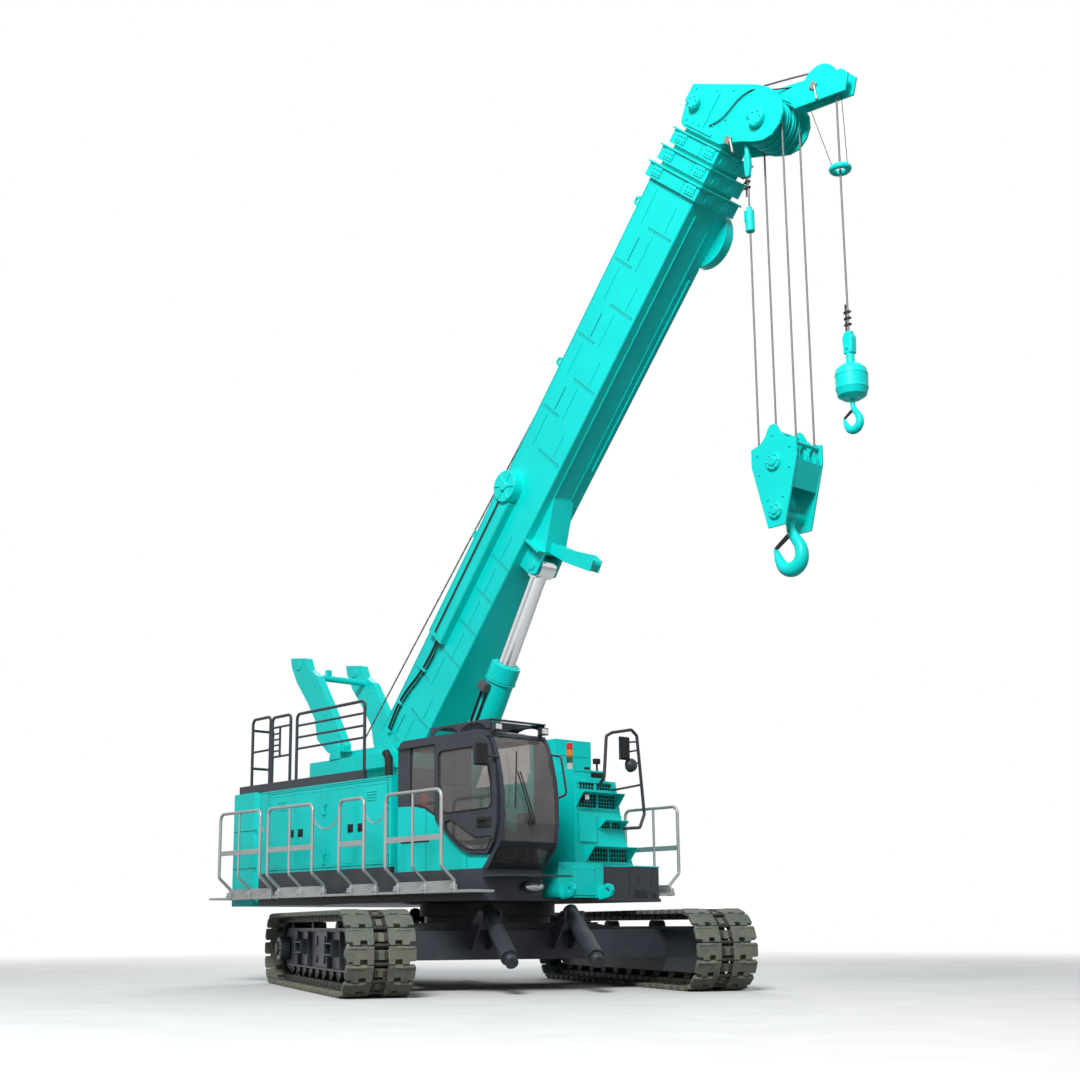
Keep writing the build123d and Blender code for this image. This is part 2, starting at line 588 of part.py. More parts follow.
def engine_house():
    """Right machinery house, with openings for its side doors."""
    shell = house_shell(HOUSE_REAR, HOUSE_FRONT, -DECK_HALF, HOUSE_IN, HOUSE_TOP)
    shell -= block(HOUSE_REAR - 1, HOUSE_FRONT + 1, -DECK_HALF - 1, -DECK_HALF + SILL_THICK, DECK_LOW, SILL_TOP)
    for i in range(DOOR_COUNT):
        rear, front = door_span(i)
        shell -= block(rear, front, -DECK_HALF - 1, -DECK_HALF + SKIN + 1, DOOR_LOW, DOOR_TOP)
    for i in range(DOOR_COUNT):
        x, out, heights = hinge_line(i)
        for z in heights:
            shell += rod((x, HINGE_Y, z - HINGE_LONG), (x, HINGE_Y, z + HINGE_LONG), HINGE_PIN_R)
            for z0 in (z - HINGE_LONG, z + HINGE_LONG - 15):
                x0, x1 = sorted((x, x - out * 24))
                shell += block(x0, x1, HINGE_Y - 9, -DECK_HALF, z0, z0 + 15) + rod((x, HINGE_Y, z0), (x, HINGE_Y, z0 + 15), HINGE_R)
    return shell


def hinge_line(index):
    """Hinge's X for a door, the direction its leaf runs, and its heights; doors pair up edge to edge."""
    rear, front = door_span(index)
    if index % 2 == 0:
        return rear, 1, HINGE_Z
    return front, -1, [z - HINGE_STAGGER for z in HINGE_Z]


def engine_door(index):
    """Side door of the engine house."""
    rear, front = door_span(index)
    gap = DOOR_GAP
    door = block(rear + gap, front - gap, -DECK_HALF, -DECK_HALF + SKIN, DOOR_LOW + gap, DOOR_TOP - gap)
    x, out, heights = hinge_line(index)
    half = HINGE_LONG - 16
    for z in heights:
        x0, x1 = sorted((x, x + out * 60))
        door += block(x0, x1, -DECK_HALF - 8, -DECK_HALF, z - half, z + half)
        door += rod((x, HINGE_Y, z - half), (x, HINGE_Y, z + half), HINGE_R)
        door -= rod((x, HINGE_Y, z - half - 1), (x, HINGE_Y, z + half + 1), HINGE_PIN_R + FIT)
    return door


def hood(y0, y1, z0, z1, out):
    """Awning over an air intake: sloping top, two cheeks and the grille behind."""
    x = TOWER_FRONT
    cheek = [(x, z0), (x + out, z1 - 14), (x + out, z1), (x, z1)]
    parts = [plate_y(cheek, y0, y0 + HOOD_SHEET), plate_y(cheek, y1 - HOOD_SHEET, y1)]
    parts.append(block(x, x + out, y0, y1, z1 - HOOD_SHEET, z1))
    return join(parts)


def grille(y0, y1, z0, z1):
    """Bars across an intake opening in the tower's front."""
    bars = []
    x = TOWER_FRONT - SKIN
    count = round((y1 - y0) / GRILLE_PITCH)
    for i in range(1, count):
        y = y0 + (y1 - y0) * i / count
        bars.append(block(x + 8, x + 14, y - 4, y + 4, z0, z1))
    rows = round((z1 - z0) / GRILLE_PITCH)
    for i in range(1, rows):
        z = z0 + (z1 - z0) * i / rows
        bars.append(block(x + 8, x + 14, y0, y1, z - 4, z + 4))
    return bars


def left_house():
    """Left machinery house, with the cooler tower and its intake hoods in front."""
    rear = house_shell(TOWER_REAR, TOWER_BACK, TOWER_IN, DECK_HALF, HOUSE_TOP)
    rear -= block(TOWER_REAR - 1, TOWER_BACK + 1, DECK_HALF - SILL_THICK, DECK_HALF + 1, DECK_LOW, SILL_TOP)
    tower = plate_x(TOWER_SIDE, TOWER_BACK, TOWER_FRONT)
    inside = [(y - SKIN if y > 800 else y + SKIN, z - SKIN if z > 2000 else z) for y, z in TOWER_SIDE]
    tower -= plate_x(inside, TOWER_BACK + SKIN, TOWER_FRONT - SKIN)
    for y0, y1, z0, z1, out in HOODS:
        tower -= block(TOWER_FRONT - SKIN - 1, TOWER_FRONT + 1, y0 + 25, y1 - 25, z0 + 8, z1 - 20)
    y_out = TOWER_SIDE[2][0]
    parts = [rear, tower, block(TOWER_BACK, STEP_FRONT, TOWER_IN, y_out - 150, TOWER_SIDE[1][1], STEP_TOP),
             block(TOWER_BACK, TANK_FRONT, TOWER_IN + 40, y_out - 60, TOWER_SIDE[1][1], TANK_TOP)]
    for y0, y1, z0, z1, out in HOODS:
        if out:
            parts.append(hood(y0, y1, z0, z1, out))
        parts += grille(y0 + 25, y1 - 25, z0 + 8, z1 - 20)
    return join(parts)


def cab_side(points, inset=0.0):
    """Closed XZ outline through the points, drawn in by inset."""
    face = make_face(Polyline(*points, close=True))
    return offset(face, -inset, kind=Kind.INTERSECTION) if inset else face


def slab(face, y0, y1):
    """Solid between two Y planes from an outline drawn in XZ."""
    front = Plane(origin=(0, y1, 0), x_dir=(1, 0, 0), z_dir=(0, -1, 0))
    return extrude(front * face, y1 - y0)


def cab_shell():
    """Cab body with its window openings and the doorway."""
    shell = slab(cab_side(CAB_OUTLINE), CAB_OUT, CAB_IN)
    shell -= slab(cab_side(CAB_OUTLINE, CAB_WALL), CAB_OUT + CAB_WALL, CAB_IN - CAB_WALL)
    for low, high in SCREEN_SPANS:
        shell -= block(1560, 2100, CAB_OUT + PILLAR, CAB_IN - PILLAR, low, high)
    shell -= slab(cab_side(REAR_PANE), CAB_OUT - 1, CAB_OUT + CAB_WALL + 1)
    shell -= block(*INNER_PANE[:2], CAB_IN - CAB_WALL - 1, CAB_IN + 1, *INNER_PANE[2:])
    shell -= block(CAB_REAR - 1, CAB_REAR + CAB_WALL + 1, CAB_OUT + 160, CAB_IN - 160, 2680, 2880)
    shell -= slab(cab_side(DOOR_OUTLINE, DOOR_LAP), CAB_OUT - 1, CAB_OUT + CAB_WALL + 1)
    shell -= slab(cab_side(FENDER), CAB_OUT - 1, CAB_OUT + FENDER_THICK)
    rail_low = CAB_DOOR_TOP + FIT
    shell += block(CAB_REAR + 40, 1780, -DECK_HALF, CAB_OUT, rail_low, rail_low + CAB_RUNNER)
    return shell


def cab_fender():
    """Painted lower skin of the cab's side, swept down towards the front."""
    return slab(cab_side(FENDER), CAB_OUT, CAB_OUT + FENDER_THICK)


def cab_glass():
    """Fixed panes: windscreen, lower screen, rear quarter pane and inner side pane."""
    skin = slab(cab_side(CAB_OUTLINE, 12), CAB_OUT + PILLAR, CAB_IN - PILLAR)
    skin -= slab(cab_side(CAB_OUTLINE, 12 + GLASS), CAB_OUT, CAB_IN)
    panes = [skin & block(1560, 2100, CAB_OUT, CAB_IN, low, high) for low, high in SCREEN_SPANS]
    panes.append(slab(cab_side(REAR_PANE), CAB_OUT + 12, CAB_OUT + 12 + GLASS))
    panes.append(block(*INNER_PANE[:2], CAB_IN - 20, CAB_IN - 20 + GLASS, *INNER_PANE[2:]))
    panes.append(block(CAB_REAR + 12, CAB_REAR + 12 + GLASS, CAB_OUT + 160, CAB_IN - 160, 2680, 2880))
    return panes


def cab_door():
    """Sliding door frame with its two windows cut out."""
    inner = -DECK_HALF + CAB_DOOR_THICK
    frame = slab(cab_side(DOOR_OUTLINE), -DECK_HALF, inner)
    for pane in DOOR_PANES:
        frame -= slab(cab_side(pane), -DECK_HALF - 1, inner + 1)
    return frame


def cab_door_glass():
    return [slab(cab_side(pane), -DECK_HALF + 12, -DECK_HALF + 12 + GLASS) for pane in DOOR_PANES]


def operator_seat():
    """Seat on its base, inside the cab, with the consoles beside it."""
    y = (CAB_OUT + CAB_IN) / 2
    low = CAB_FLOOR + CAB_WALL
    base = block(650, 1050, y - 180, y + 180, low, low + 260)
    cushion = block(600, 1130, y - 250, y + 250, low + 260, low + 390)
    back = block(560, 700, y - 240, y + 240, low + 390, low + 1000)
    head = block(590, 680, y - 130, y + 130, low + 1000, low + 1180)
    return join([base, cushion, back, head])


def roof_guard():
    """Falling-object guard: slatted top on side plates with arched cut-outs."""
    y0, y1 = CAB_OUT + 10, CAB_IN - 10
    rear, front = GUARD_SPAN
    top = block(rear, front, y0, y1, GUARD_TOP - 14, GUARD_TOP)
    top -= block(rear + 80, front - 80, y0 + 80, y1 - 80, GUARD_TOP - 15, GUARD_TOP + 1)
    for i in range(GUARD_BARS):
        x = rear + 80 + (front - rear - 160) * (i + 1) / (GUARD_BARS + 1)
        top += block(x - 14, x + 14, y0 + 40, y1 - 40, GUARD_TOP - 30, GUARD_TOP)
    plates = []
    for y in (y0, y1 - 10):
        plate = block(rear + 20, front - 20, y, y + 10, CAB_TOP, GUARD_TOP)
        for x in (rear + 310, front - 320):
            arch = Plane(origin=(x, y - 1, CAB_TOP - 5), x_dir=(1, 0, 0), z_dir=(0, -1, 0)) * Ellipse(230, 85)
            plate -= extrude(arch, 12, dir=(0, 1, 0))
        plates.append(plate)
    return join([top] + plates)


def cab_step():
    """Step plate along the front of the cab's base."""
    outline = [(CAB_BASE_FRONT, -DECK_HALF), (2130, -DECK_HALF - 40), (2280, -1300), (2300, -700),
               (2200, -CAB_STEP_IN), (CAB_BASE_FRONT, -CAB_STEP_IN)]
    return Pos(0, 0, CAB_STEP_LOW) * extrude(make_face(Polyline(*outline, close=True)), 14)


def work_lamps():
    """Two lamps over the windscreen, the front lamp and the lamp in the tower's hood."""
    lamps = []
    cab = slab(cab_side(CAB_OUTLINE), CAB_OUT, CAB_IN)
    for y in (CAB_OUT + 70, CAB_IN - 90):
        lamps.append(block(1740, 1800, y - 12, y + 12, CAB_TOP - 80, CAB_TOP - 20)
                     + block(1795, 1860, y - 55, y + 55, CAB_TOP - 35, CAB_TOP + 50) - cab)
    oval = Plane(origin=(CAB_BASE_FRONT, -760, 1195), x_dir=(0, 1, 0), z_dir=(1, 0, 0)) * Ellipse(165, 62)
    lamps.append(extrude(oval, 55))
    lamps.append(block(TOWER_FRONT - SKIN + 14, TOWER_FRONT + 75, 520, 610, 2290, 2370))
    return lamps


def stack_light():
    """Round signal light on the step of the tower."""
    x, y = STACK_AT
    return rod((x, y, STEP_TOP), (x, y, STEP_TOP + 340), 42)


def front_rails():
    """Bent tubes ahead of the tower, with two mirrors, and those beside the windscreen."""
    x = TOWER_FRONT + 100
    loop = [(TOWER_FRONT, 871, 2500), (x, 871, 2600), (x, 922, 3130), (x, 1022, 3182), (x, 1382, 3248), (x, 1481, 3177),
            (x, 1589, 2165), (x, 1500, 1985), (x, 1297, 1970), (TOWER_FRONT, 1297, 1970)]
    parts = [rail(loop, RAIL_R, [40] * 8), rod((x, 1090, 2455), (x, 1562, 2545), RAIL_R * 0.7),
             rod((TOWER_FRONT, 1095, 2455), (x, 1095, 2455), RAIL_R * 0.7),
             block(x - 55, x - 25, 1200, 1345, 2850, 3150), rod((x - 40, 1300, 2950), (x, 1505, 2990), 12),
             rod((x - 40, 1300, 3080), (x, 1495, 3100), 12),
             Pos(x - 50, 1400, 2790) * Sphere(92) & block(x - 60, x + 40, 1290, 1510, 2690, 2890),
             rod((x - 10, 1400, 2800), (x, 1520, 2830), 12)]
    grab = [(1870, CAB_IN, 2720), (1990, CAB_IN + 40, 2700), (2060, CAB_IN + 60, 2250), (1900, CAB_IN, 2190)]
    side = join([block(1930, 1960, -1830, -1640, 2520, 2780), rod((1900, CAB_OUT + 30, 2640), (1955, -1740, 2640), 14)])
    cab = slab(cab_side(CAB_OUTLINE), CAB_OUT, CAB_IN)
    ahead = join(parts) - block(TOWER_FRONT - 60, TOWER_FRONT, 800, DECK_HALF, 1900, 2700)
    return [ahead, rail(grab, 14, [50, 50]) - cab, side - cab]


def walkway(side):
    """Grating along one side, with toe boards and bent tube rails outside it."""
    out = side * WALK_HALF
    edge = side * DECK_HALF
    floor_ends = (-3850, 1900) if side < 0 else (-3850, 1560)
    y0, y1 = sorted((edge, out))
    parts = [block(*floor_ends, y0, y1, WALK_LOW, WALK_LOW + WALK_THICK)]
    frames = RIGHT_RAILS if side < 0 else LEFT_RAILS
    for rear, front, mid in frames:
        y = side * RAIL_Y
        foot = side * (WALK_HALF - 12)
        loop = [(rear, foot, WALK_LOW + 5), (rear, foot, TOE_TOP), (rear, y, RAIL_KINK), (rear, y, RAIL_TOP),
                (front, y, RAIL_TOP), (front, y, RAIL_KINK), (front, foot, TOE_TOP), (front, foot, WALK_LOW + 5)]
        parts.append(rail(loop, RAIL_R, [30, 60, 90, 90, 60, 30]))
        if mid:
            post = [(mid, foot, WALK_LOW + 5), (mid, foot, TOE_TOP), (mid, y, RAIL_KINK), (mid, y, RAIL_TOP)]
            parts.append(rail(post, RAIL_R * 0.8, [30, 60]))
        y0, y1 = sorted((y - side * 4, y + side * 4))
        parts.append(block(rear, front, y0, y1, RAIL_MID - 32, RAIL_MID + 32))
        y0, y1 = sorted((foot - 4, foot + 4))
        parts.append(block(rear, front, y0, y1, WALK_LOW + WALK_THICK, TOE_TOP))
    return join(parts)


def roof_rails():
    """Guard rails standing on kerbs along the right roof edge, with a ladder gate."""
    y, low = ROOF_RAIL_Y, HOUSE_TOP + KERB
    frames = []
    for rear, front, top, heights in ROOF_FRAMES:
        loop = [(rear, y, low), (rear, y, top), (front, y, top), (front, y, low)]
        bars = [rod((rear, y, z), (front, y, z), RAIL_R * 0.75) for z in heights]
        frames.append(join([rail(loop, RAIL_R, [70, 70])] + bars))
    rungs = [rod((-2960, y, z), (-2760, y, z), RAIL_R * 0.6) for z in (3150, 3230, 3310, 3390)]
    frames[1] = join([frames[1], rod((-2760, y, 3070), (-2760, y, 3480), RAIL_R * 0.75)] + rungs)
    turn = [rod((-3480, y, z), (-3480, y + 330, z), RAIL_R * 0.9) for z in (2960, 3500)]
    frames[0] = join([frames[0], rod((-3480, y + 330, low), (-3480, y + 330, 3520), RAIL_R)] + turn)
    kerb = block(-3060, HOUSE_FRONT - 650, y - 40, y + 20, HOUSE_TOP, low)
    return [kerb + block(-3740, -3060, y - 40, y + 370, BALLAST_TOP, low)] + frames


def battery_box():
    """Battery and tool box at the deck's front left corner."""
    return block(TOWER_FRONT + 5, FRONT_BOX_X, BATTERY_IN, DECK_HALF, DECK_TOP, FRONT_BOX_TOP)


def gantry():
    """Ballast lifting arms, cranked, with the tube between them."""
    px, pz = GANTRY_PIN
    parts = []
    for shape in both(plate_y(GANTRY_ARM, GANTRY_Y - 60, GANTRY_Y + 60)):
        parts.append(shape)
    slot = both(block(-3920, -3560, GANTRY_Y - 28, GANTRY_Y + 28, 4480, 4720))
    parts = [parts[0] - slot[0], parts[1] - slot[1]]
    parts += both(bar_y(-3660, 4560, GANTRY_Y - 60, GANTRY_Y + 60, 45))
    cross = bar_y(-3400, 4370, -GANTRY_Y, GANTRY_Y, 48)
    hole = bar_y(px, pz, -GANTRY_Y - 100, GANTRY_Y + 100, GANTRY_PIN_R + FIT)
    return join(parts + [cross]) - hole


def drum(x, z, radius):
    """Hoist drum with end flanges, round its shaft."""
    half = WEB_Y - 12
    body = bar_y(x, z, -half, half, radius - 60)
    body += bar_y(x, z, -half, -half + 24, radius) + bar_y(x, z, half - 24, half, radius)
    return body - bar_y(x, z, -half - 1, half + 1, DRUM_SHAFT_R + FIT)


def make_upper():
    save("revolving_frame", revolving_frame())
    save("deck", deck())
    save("counterweight", counterweight())
    save("engine_house", engine_house())
    for i in range(DOOR_COUNT):
        save(f"engine_door_{i + 1}", engine_door(i))
    save("engine_block", block(*ENGINE[0], *ENGINE[1], DECK_TOP, DECK_TOP + ENGINE_HIGH))
    save("left_house", left_house())
    save("battery_box", battery_box())
    save("cab_shell", cab_shell())
    save("cab_fender", cab_fender())
    save("cab_glass", cab_glass())
    save("cab_step", cab_step())
    save("work_lamps", work_lamps())
    save("stack_light", stack_light())
    save("front_rails", front_rails())
    save("cab_door", cab_door())
    save("cab_door_glass", cab_door_glass())
    save("operator_seat", operator_seat())
    save("roof_guard", roof_guard())
    save("walkways", [walkway(-1), walkway(1)])
    save("roof_rails", roof_rails())
    save("ballast_gantry", gantry())
    for name, place in zip(("main_drum", "auxiliary_drum"), DRUMS):
        save(name, drum(*place))


# ---- boom ---------------------------------------------------------------------

EYE_HALF = 125.0


def boomed(shape):
    """Set a piece drawn in the boom's own frame at the elevation it stands at."""
    return Pos(FOOT[0], 0, FOOT[1]) * Rot(0, -LUFF, 0) * shape


def boom_xz(a, b):
    """Place in XZ of a point given along and square to the boom."""
    c, s = cos(radians(LUFF)), sin(radians(LUFF))
    return FOOT[0] + a * c - b * s, FOOT[1] + a * s + b * c


def section_size(i):
    """Half width, top, bottom, rear and front of boom section i, the base being 0."""
    inset = i * (BOOM_WALL + SECTION_GAP)
    return (BOOM_HALF - inset, BOOM_TOP_B - inset, BOOM_LOW_B + inset,
            BOOM_REAR + 300 * i + (300 if i else 0), BOOM_FRONT + SECTION_STEP * i)


def frame_ring(a0, a1, outer, inner):
    """Square ring round the boom's axis; sizes are half width, top and bottom."""
    ring = block(a0, a1, -outer[0], outer[0], outer[2], outer[1])
    return ring - block(a0 - 1, a1 + 1, -inner[0], inner[0], inner[2], inner[1])


def section(i):
    """Box section: a thin tube, a collar at its mouth and wear pads at its tail."""
    half, top, low, rear, front = section_size(i)
    tube = frame_ring(rear, front, (half, top, low), (half - BOOM_WALL, top - BOOM_WALL, low + BOOM_WALL))
    parts = [tube]
    if i < 3:
        inner = section_size(i + 1)
        seat = (inner[0] + FIT, inner[1] + FIT, inner[2] - FIT)
        collar = (half + COLLAR_OUT, top + COLLAR_OUT, low - COLLAR_OUT)
        parts.append(frame_ring(front - COLLAR_LONG, front, collar, seat))
    if i > 0:
        outer = section_size(i - 1)
        pad = (outer[0] - BOOM_WALL - FIT, outer[1] - BOOM_WALL - FIT, outer[2] + BOOM_WALL + FIT)
        parts.append(frame_ring(rear, rear + 120, pad, (half - BOOM_WALL, top - BOOM_WALL, low + BOOM_WALL)))
    return join(parts)


def boom_base():
    """Base section with the foot boss, the cylinder's bracket and the hose duct."""
    parts = [section(0)]
    foot = bar_y(0, 0, -WEB_Y + 10, WEB_Y - 10, FOOT_PIN_R + 45)
    a, b = EYE
    ear = [(a - 120, BOOM_LOW_B), (a + 900, BOOM_LOW_B), (a + 260, b - 110), (a - 40, b - 140), (a - 110, b - 60)]
    parts += both(plate_y(ear, EYE_HALF + 15, EYE_HALF + 45))
    parts.append(plate_y([(a + 900, BOOM_LOW_B), (a + 260, b - 110), (a + 245, b - 90), (a + 860, BOOM_LOW_B)],
                         -EYE_HALF - 15, EYE_HALF + 15))
    parts.append(block(a + 225, a + 255, -BOOM_HALF, BOOM_HALF, b - 110, BOOM_LOW_B))
    parts += both(plate_y(CABLE_ARM, 60, 76))
    parts.append(bar_y(4170, -1570, -60, 60, 70))
    parts.append(bar_y(a, b, -EYE_HALF - 60, EYE_HALF + 60, CYL_PIN_R))
    parts.append(block(*DUCT[:2], -BOOM_HALF - DUCT_DEEP, -BOOM_HALF, *DUCT[2:]))
    parts.append(bar_y(*HOSE_REEL, -BOOM_HALF - DUCT_DEEP - 20, -BOOM_HALF, HOSE_REEL_R))
    parts.append(bar_y(*CABLE_REEL, BOOM_HALF, CABLE_REEL_OUT, CABLE_REEL_R))
    for lug_a in BOOM_LUGS:
        tab = [(lug_a - 70, BOOM_TOP_B), (lug_a + 70, BOOM_TOP_B), (lug_a + 40, BOOM_TOP_B + 95), (lug_a - 40, BOOM_TOP_B + 95)]
        parts.append(plate_y(tab, -BOOM_HALF + 10, -BOOM_HALF + 34) - bar_y(lug_a, BOOM_TOP_B + 50, -BOOM_HALF, 0, 24))
    body = join(parts)
    body -= bar_y(0, 0, -BOOM_HALF, BOOM_HALF, FOOT_PIN_R + 44)
    return body + (foot - bar_y(0, 0, -WEB_Y, WEB_Y, FOOT_PIN_R + FIT))


def boom_head():
    """Fourth section with the head's side plates and the single-top arms."""
    parts = [section(3)]
    parts += both(plate_y(HEAD_PLATE, HEAD_Y, HEAD_Y + HEAD_THICK))
    half, top, low, rear, front = section_size(3)
    parts += both(block(front - 180, front, half, HEAD_Y, low + 40, top - 40))
    parts.append(bar_y(*HEAD_PIN, -HEAD_Y - 50, HEAD_Y + 50, HEAD_PIN_R))
    parts += both(plate_y(TIP_ARM, TIP_Y, TIP_Y + HEAD_THICK))
    parts += both(block(9690, 9790, TIP_Y, HEAD_Y, -600, -520))
    parts.append(bar_y(*TIP_PIN, -TIP_Y - 40, TIP_Y + 40, TIP_PIN_R))
    parts += both(bar_y(*HEAD_PIN, HEAD_Y + HEAD_THICK, HEAD_Y + HEAD_THICK + 30, 95))
    parts += both(bar_y(*IDLER_PIN, HEAD_Y + HEAD_THICK, HEAD_Y + HEAD_THICK + 45, 75))
    parts.append(bar_y(*IDLER_PIN, -HEAD_Y, HEAD_Y, 40))
    parts.append(bar_y(*IDLER_PIN, -110, 110, IDLER_R))
    parts.append(bar_y(9700, -300, -HEAD_Y, HEAD_Y, 50))
    parts.append(block(9240, 9262, -HEAD_Y, HEAD_Y, -600, 300))
    return join(parts)


def sheave(a, b, ys, radius, bore, half):
    """Sheaves side by side on one hub, each grooved for the rope."""
    x, z = a, b
    parts = [bar_y(x, z, -half, half, bore + 45)]
    for y in ys:
        parts.append(bar_y(x, z, y - 22, y + 22, radius - ROPE_R - FIT))
        for edge in (y - 22, y + 13):
            parts.append(bar_y(x, z, edge, edge + 9, radius + 30))
    return join(parts) - bar_y(x, z, -half - 1, half + 1, bore + FIT)


def cylinder_axis():
    """Foot, eye, unit direction and length of the luffing cylinder as it stands."""
    ex, ez = boom_xz(*EYE)
    dx, dz = ex - CYL_FOOT[0], ez - CYL_FOOT[1]
    length = hypot(dx, dz)
    return (ex, ez), (dx / length, dz / length), length


def derrick_barrel():
    """Cylinder barrel with a gland at its mouth and an eye at its foot."""
    (ex, ez), (ux, uz), length = cylinder_axis()

    def at(d):
        return (CYL_FOOT[0] + ux * d, 0, CYL_FOOT[1] + uz * d)

    tube = rod(at(170), at(BARREL_LONG), BARREL_R) + rod(at(BARREL_LONG - 210), at(BARREL_LONG), BARREL_R + 15)
    tube -= rod(at(BARREL_END), at(BARREL_LONG - GLAND), BARREL_BORE)
    tube -= rod(at(BARREL_LONG - GLAND - 10), at(BARREL_LONG + 10), ROD_R + FIT)
    eye = bar_y(*CYL_FOOT, -150, 150, 200)
    neck = Plane(origin=at(85), z_dir=(ux, 0, uz), x_dir=(0, 1, 0)) * Box(300, 300, 190)
    return join([tube, eye + neck]) - bar_y(*CYL_FOOT, -151, 151, 80)


def derrick_rod():
    """Cylinder rod with its eye and piston."""
    (ex, ez), (ux, uz), length = cylinder_axis()

    def at(d):
        return (ex - ux * d, 0, ez - uz * d)

    bar = rod(at(60), at(PISTON_AT), ROD_R)
    piston = rod(at(PISTON_AT - 90), at(PISTON_AT), BARREL_BORE - FIT)
    eye = bar_y(ex, ez, -EYE_HALF, EYE_HALF, EYE_R)
    return join([bar, piston, eye]) - bar_y(ex, ez, -EYE_HALF - 1, EYE_HALF + 1, CYL_PIN_R + FIT)


def hook_shape(x, outline, half):
    """Hook cut to its side outline, with even cheeks."""
    pts = [(x + dx, z) for dx, z in outline]
    return plate_y(pts, -half, half)


def main_falls():
    """Four parts of hoist rope between the head and the hook block."""
    hx, hz = boom_xz(*HEAD_PIN)
    return [rod((hx + sx * SHEAVE_R, sy * FALL_Y, BLOCK_PIN_Z), (hx + sx * SHEAVE_R, sy * FALL_Y, hz), ROPE_R)
            for sx in (-1, 1) for sy in (-1, 1)]


def hook_block():
    """Two cheeks, the pin and sheaves between them, and the hook's crosshead."""
    hx, hz = boom_xz(*HEAD_PIN)
    outline = [(hx + dx, z) for dx, z in CHEEK]
    parts = both(plate_y(outline, CHEEK_Y, CHEEK_Y + CHEEK_THICK))
    parts.append(bar_y(hx, BLOCK_PIN_Z, -CHEEK_Y - 48, CHEEK_Y + 48, HEAD_PIN_R))
    shield = [(hx + 292, 5570), (hx + 275, 5575), (hx + 190, 5290), (hx + 207, 5285)]
    parts.append(plate_y(shield, -CHEEK_Y, CHEEK_Y))
    parts.append(plate_y([(2 * hx - x, z) for x, z in shield], -CHEEK_Y, CHEEK_Y))
    wheels = sheave(hx, BLOCK_PIN_Z, (-FALL_Y, 0, FALL_Y), SHEAVE_R, HEAD_PIN_R - FIT, CHEEK_Y)
    cross = bar_y(hx, CROSSHEAD_Z, -CHEEK_Y, CHEEK_Y, 60) - rod((hx, 0, CROSSHEAD_Z - 100), (hx, 0, CROSSHEAD_Z + 100), 34 + FIT)
    return join(parts + [wheels]) + cross


def main_hook():
    """Forged hook that turns in the crosshead, with its nut above."""
    hx, hz = boom_xz(*HEAD_PIN)
    hook = hook_shape(hx, MAIN_HOOK, 50)
    shank = rod((hx, 0, CROSSHEAD_Z - 140), (hx, 0, CROSSHEAD_Z - 62), 46)
    stem = rod((hx, 0, CROSSHEAD_Z - 80), (hx, 0, CROSSHEAD_Z + 190), 34)
    nut = rod((hx, 0, CROSSHEAD_Z + 60 + FIT), (hx, 0, CROSSHEAD_Z + 250), 66)
    return join([hook, shank, stem, nut])


def tip_fall():
    """Single auxiliary rope."""
    tx, tz = boom_xz(*TIP_PIN)
    x = tx + TIP_SHEAVE_R
    return rod((x, 0, BALL_PROFILE[-1][1] - ROPE_SEAT), (x, 0, tz), ROPE_R)


def ball_hook_body():
    """Overhaul ball with the wedge socket on top."""
    tx, tz = boom_xz(*TIP_PIN)
    x = tx + TIP_SHEAVE_R
    profile = Plane(origin=(x, 0, 0), x_dir=(1, 0, 0), z_dir=(0, -1, 0)) * make_face(Polyline(*BALL_PROFILE, close=True))
    body = revolve(profile, axis=Axis((x, 0, 0), (0, 0, 1)), revolution_arc=360)
    top = BALL_PROFILE[-1][1]
    bore = rod((x, 0, top - ROPE_SEAT - FIT), (x, 0, top + 1), ROPE_R + FIT)
    hole = rod((x, 0, BALL_PROFILE[0][1] - 1), (x, 0, BALL_PROFILE[0][1] + 60), 24 + FIT)
    return body - bore - hole


def ball_hook():
    """Hook under the overhaul ball."""
    tx, tz = boom_xz(*TIP_PIN)
    x = tx + TIP_SHEAVE_R
    k = BALL_HOOK_SCALE
    outline = [(dx * k, BALL_HOOK_LOW + (z - MAIN_HOOK[7][1]) * k) for dx, z in MAIN_HOOK]
    top = BALL_HOOK_LOW + (MAIN_HOOK[0][1] - MAIN_HOOK[7][1]) * k
    return join([hook_shape(x, outline, 29), rod((x, 0, top - 30), (x, 0, top + 30), 26), rod((x, 0, top), (x, 0, BALL_PROFILE[0][1] + 45), 24)])


def make_boom():
    save("boom_base", boomed(boom_base()))
    save("boom_section_2", boomed(section(1)))
    save("boom_section_3", boomed(section(2)))
    save("boom_head", boomed(boom_head()))
    save("head_sheaves", boomed(sheave(*HEAD_PIN, (-FALL_Y, -52, 52, FALL_Y), SHEAVE_R, HEAD_PIN_R, HEAD_Y - 8)))
    save("tip_sheave", boomed(sheave(*TIP_PIN, (0,), TIP_SHEAVE_R, TIP_PIN_R, TIP_Y - 8)))
    save("derrick_barrel", derrick_barrel())
    save("derrick_rod", derrick_rod())
    save("main_falls", main_falls())
    save("hook_block", hook_block())
    save("main_hook", main_hook())
    save("tip_fall", tip_fall())
    save("overhaul_ball", ball_hook_body())
    save("ball_hook", ball_hook())


if __name__ == "__main__":
    os.makedirs("parts", exist_ok=True)
    make_undercarriage()
    make_upper()
    make_boom()
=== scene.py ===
from math import cos, pi, radians, sin

import bpy
from mathutils import Matrix, Vector


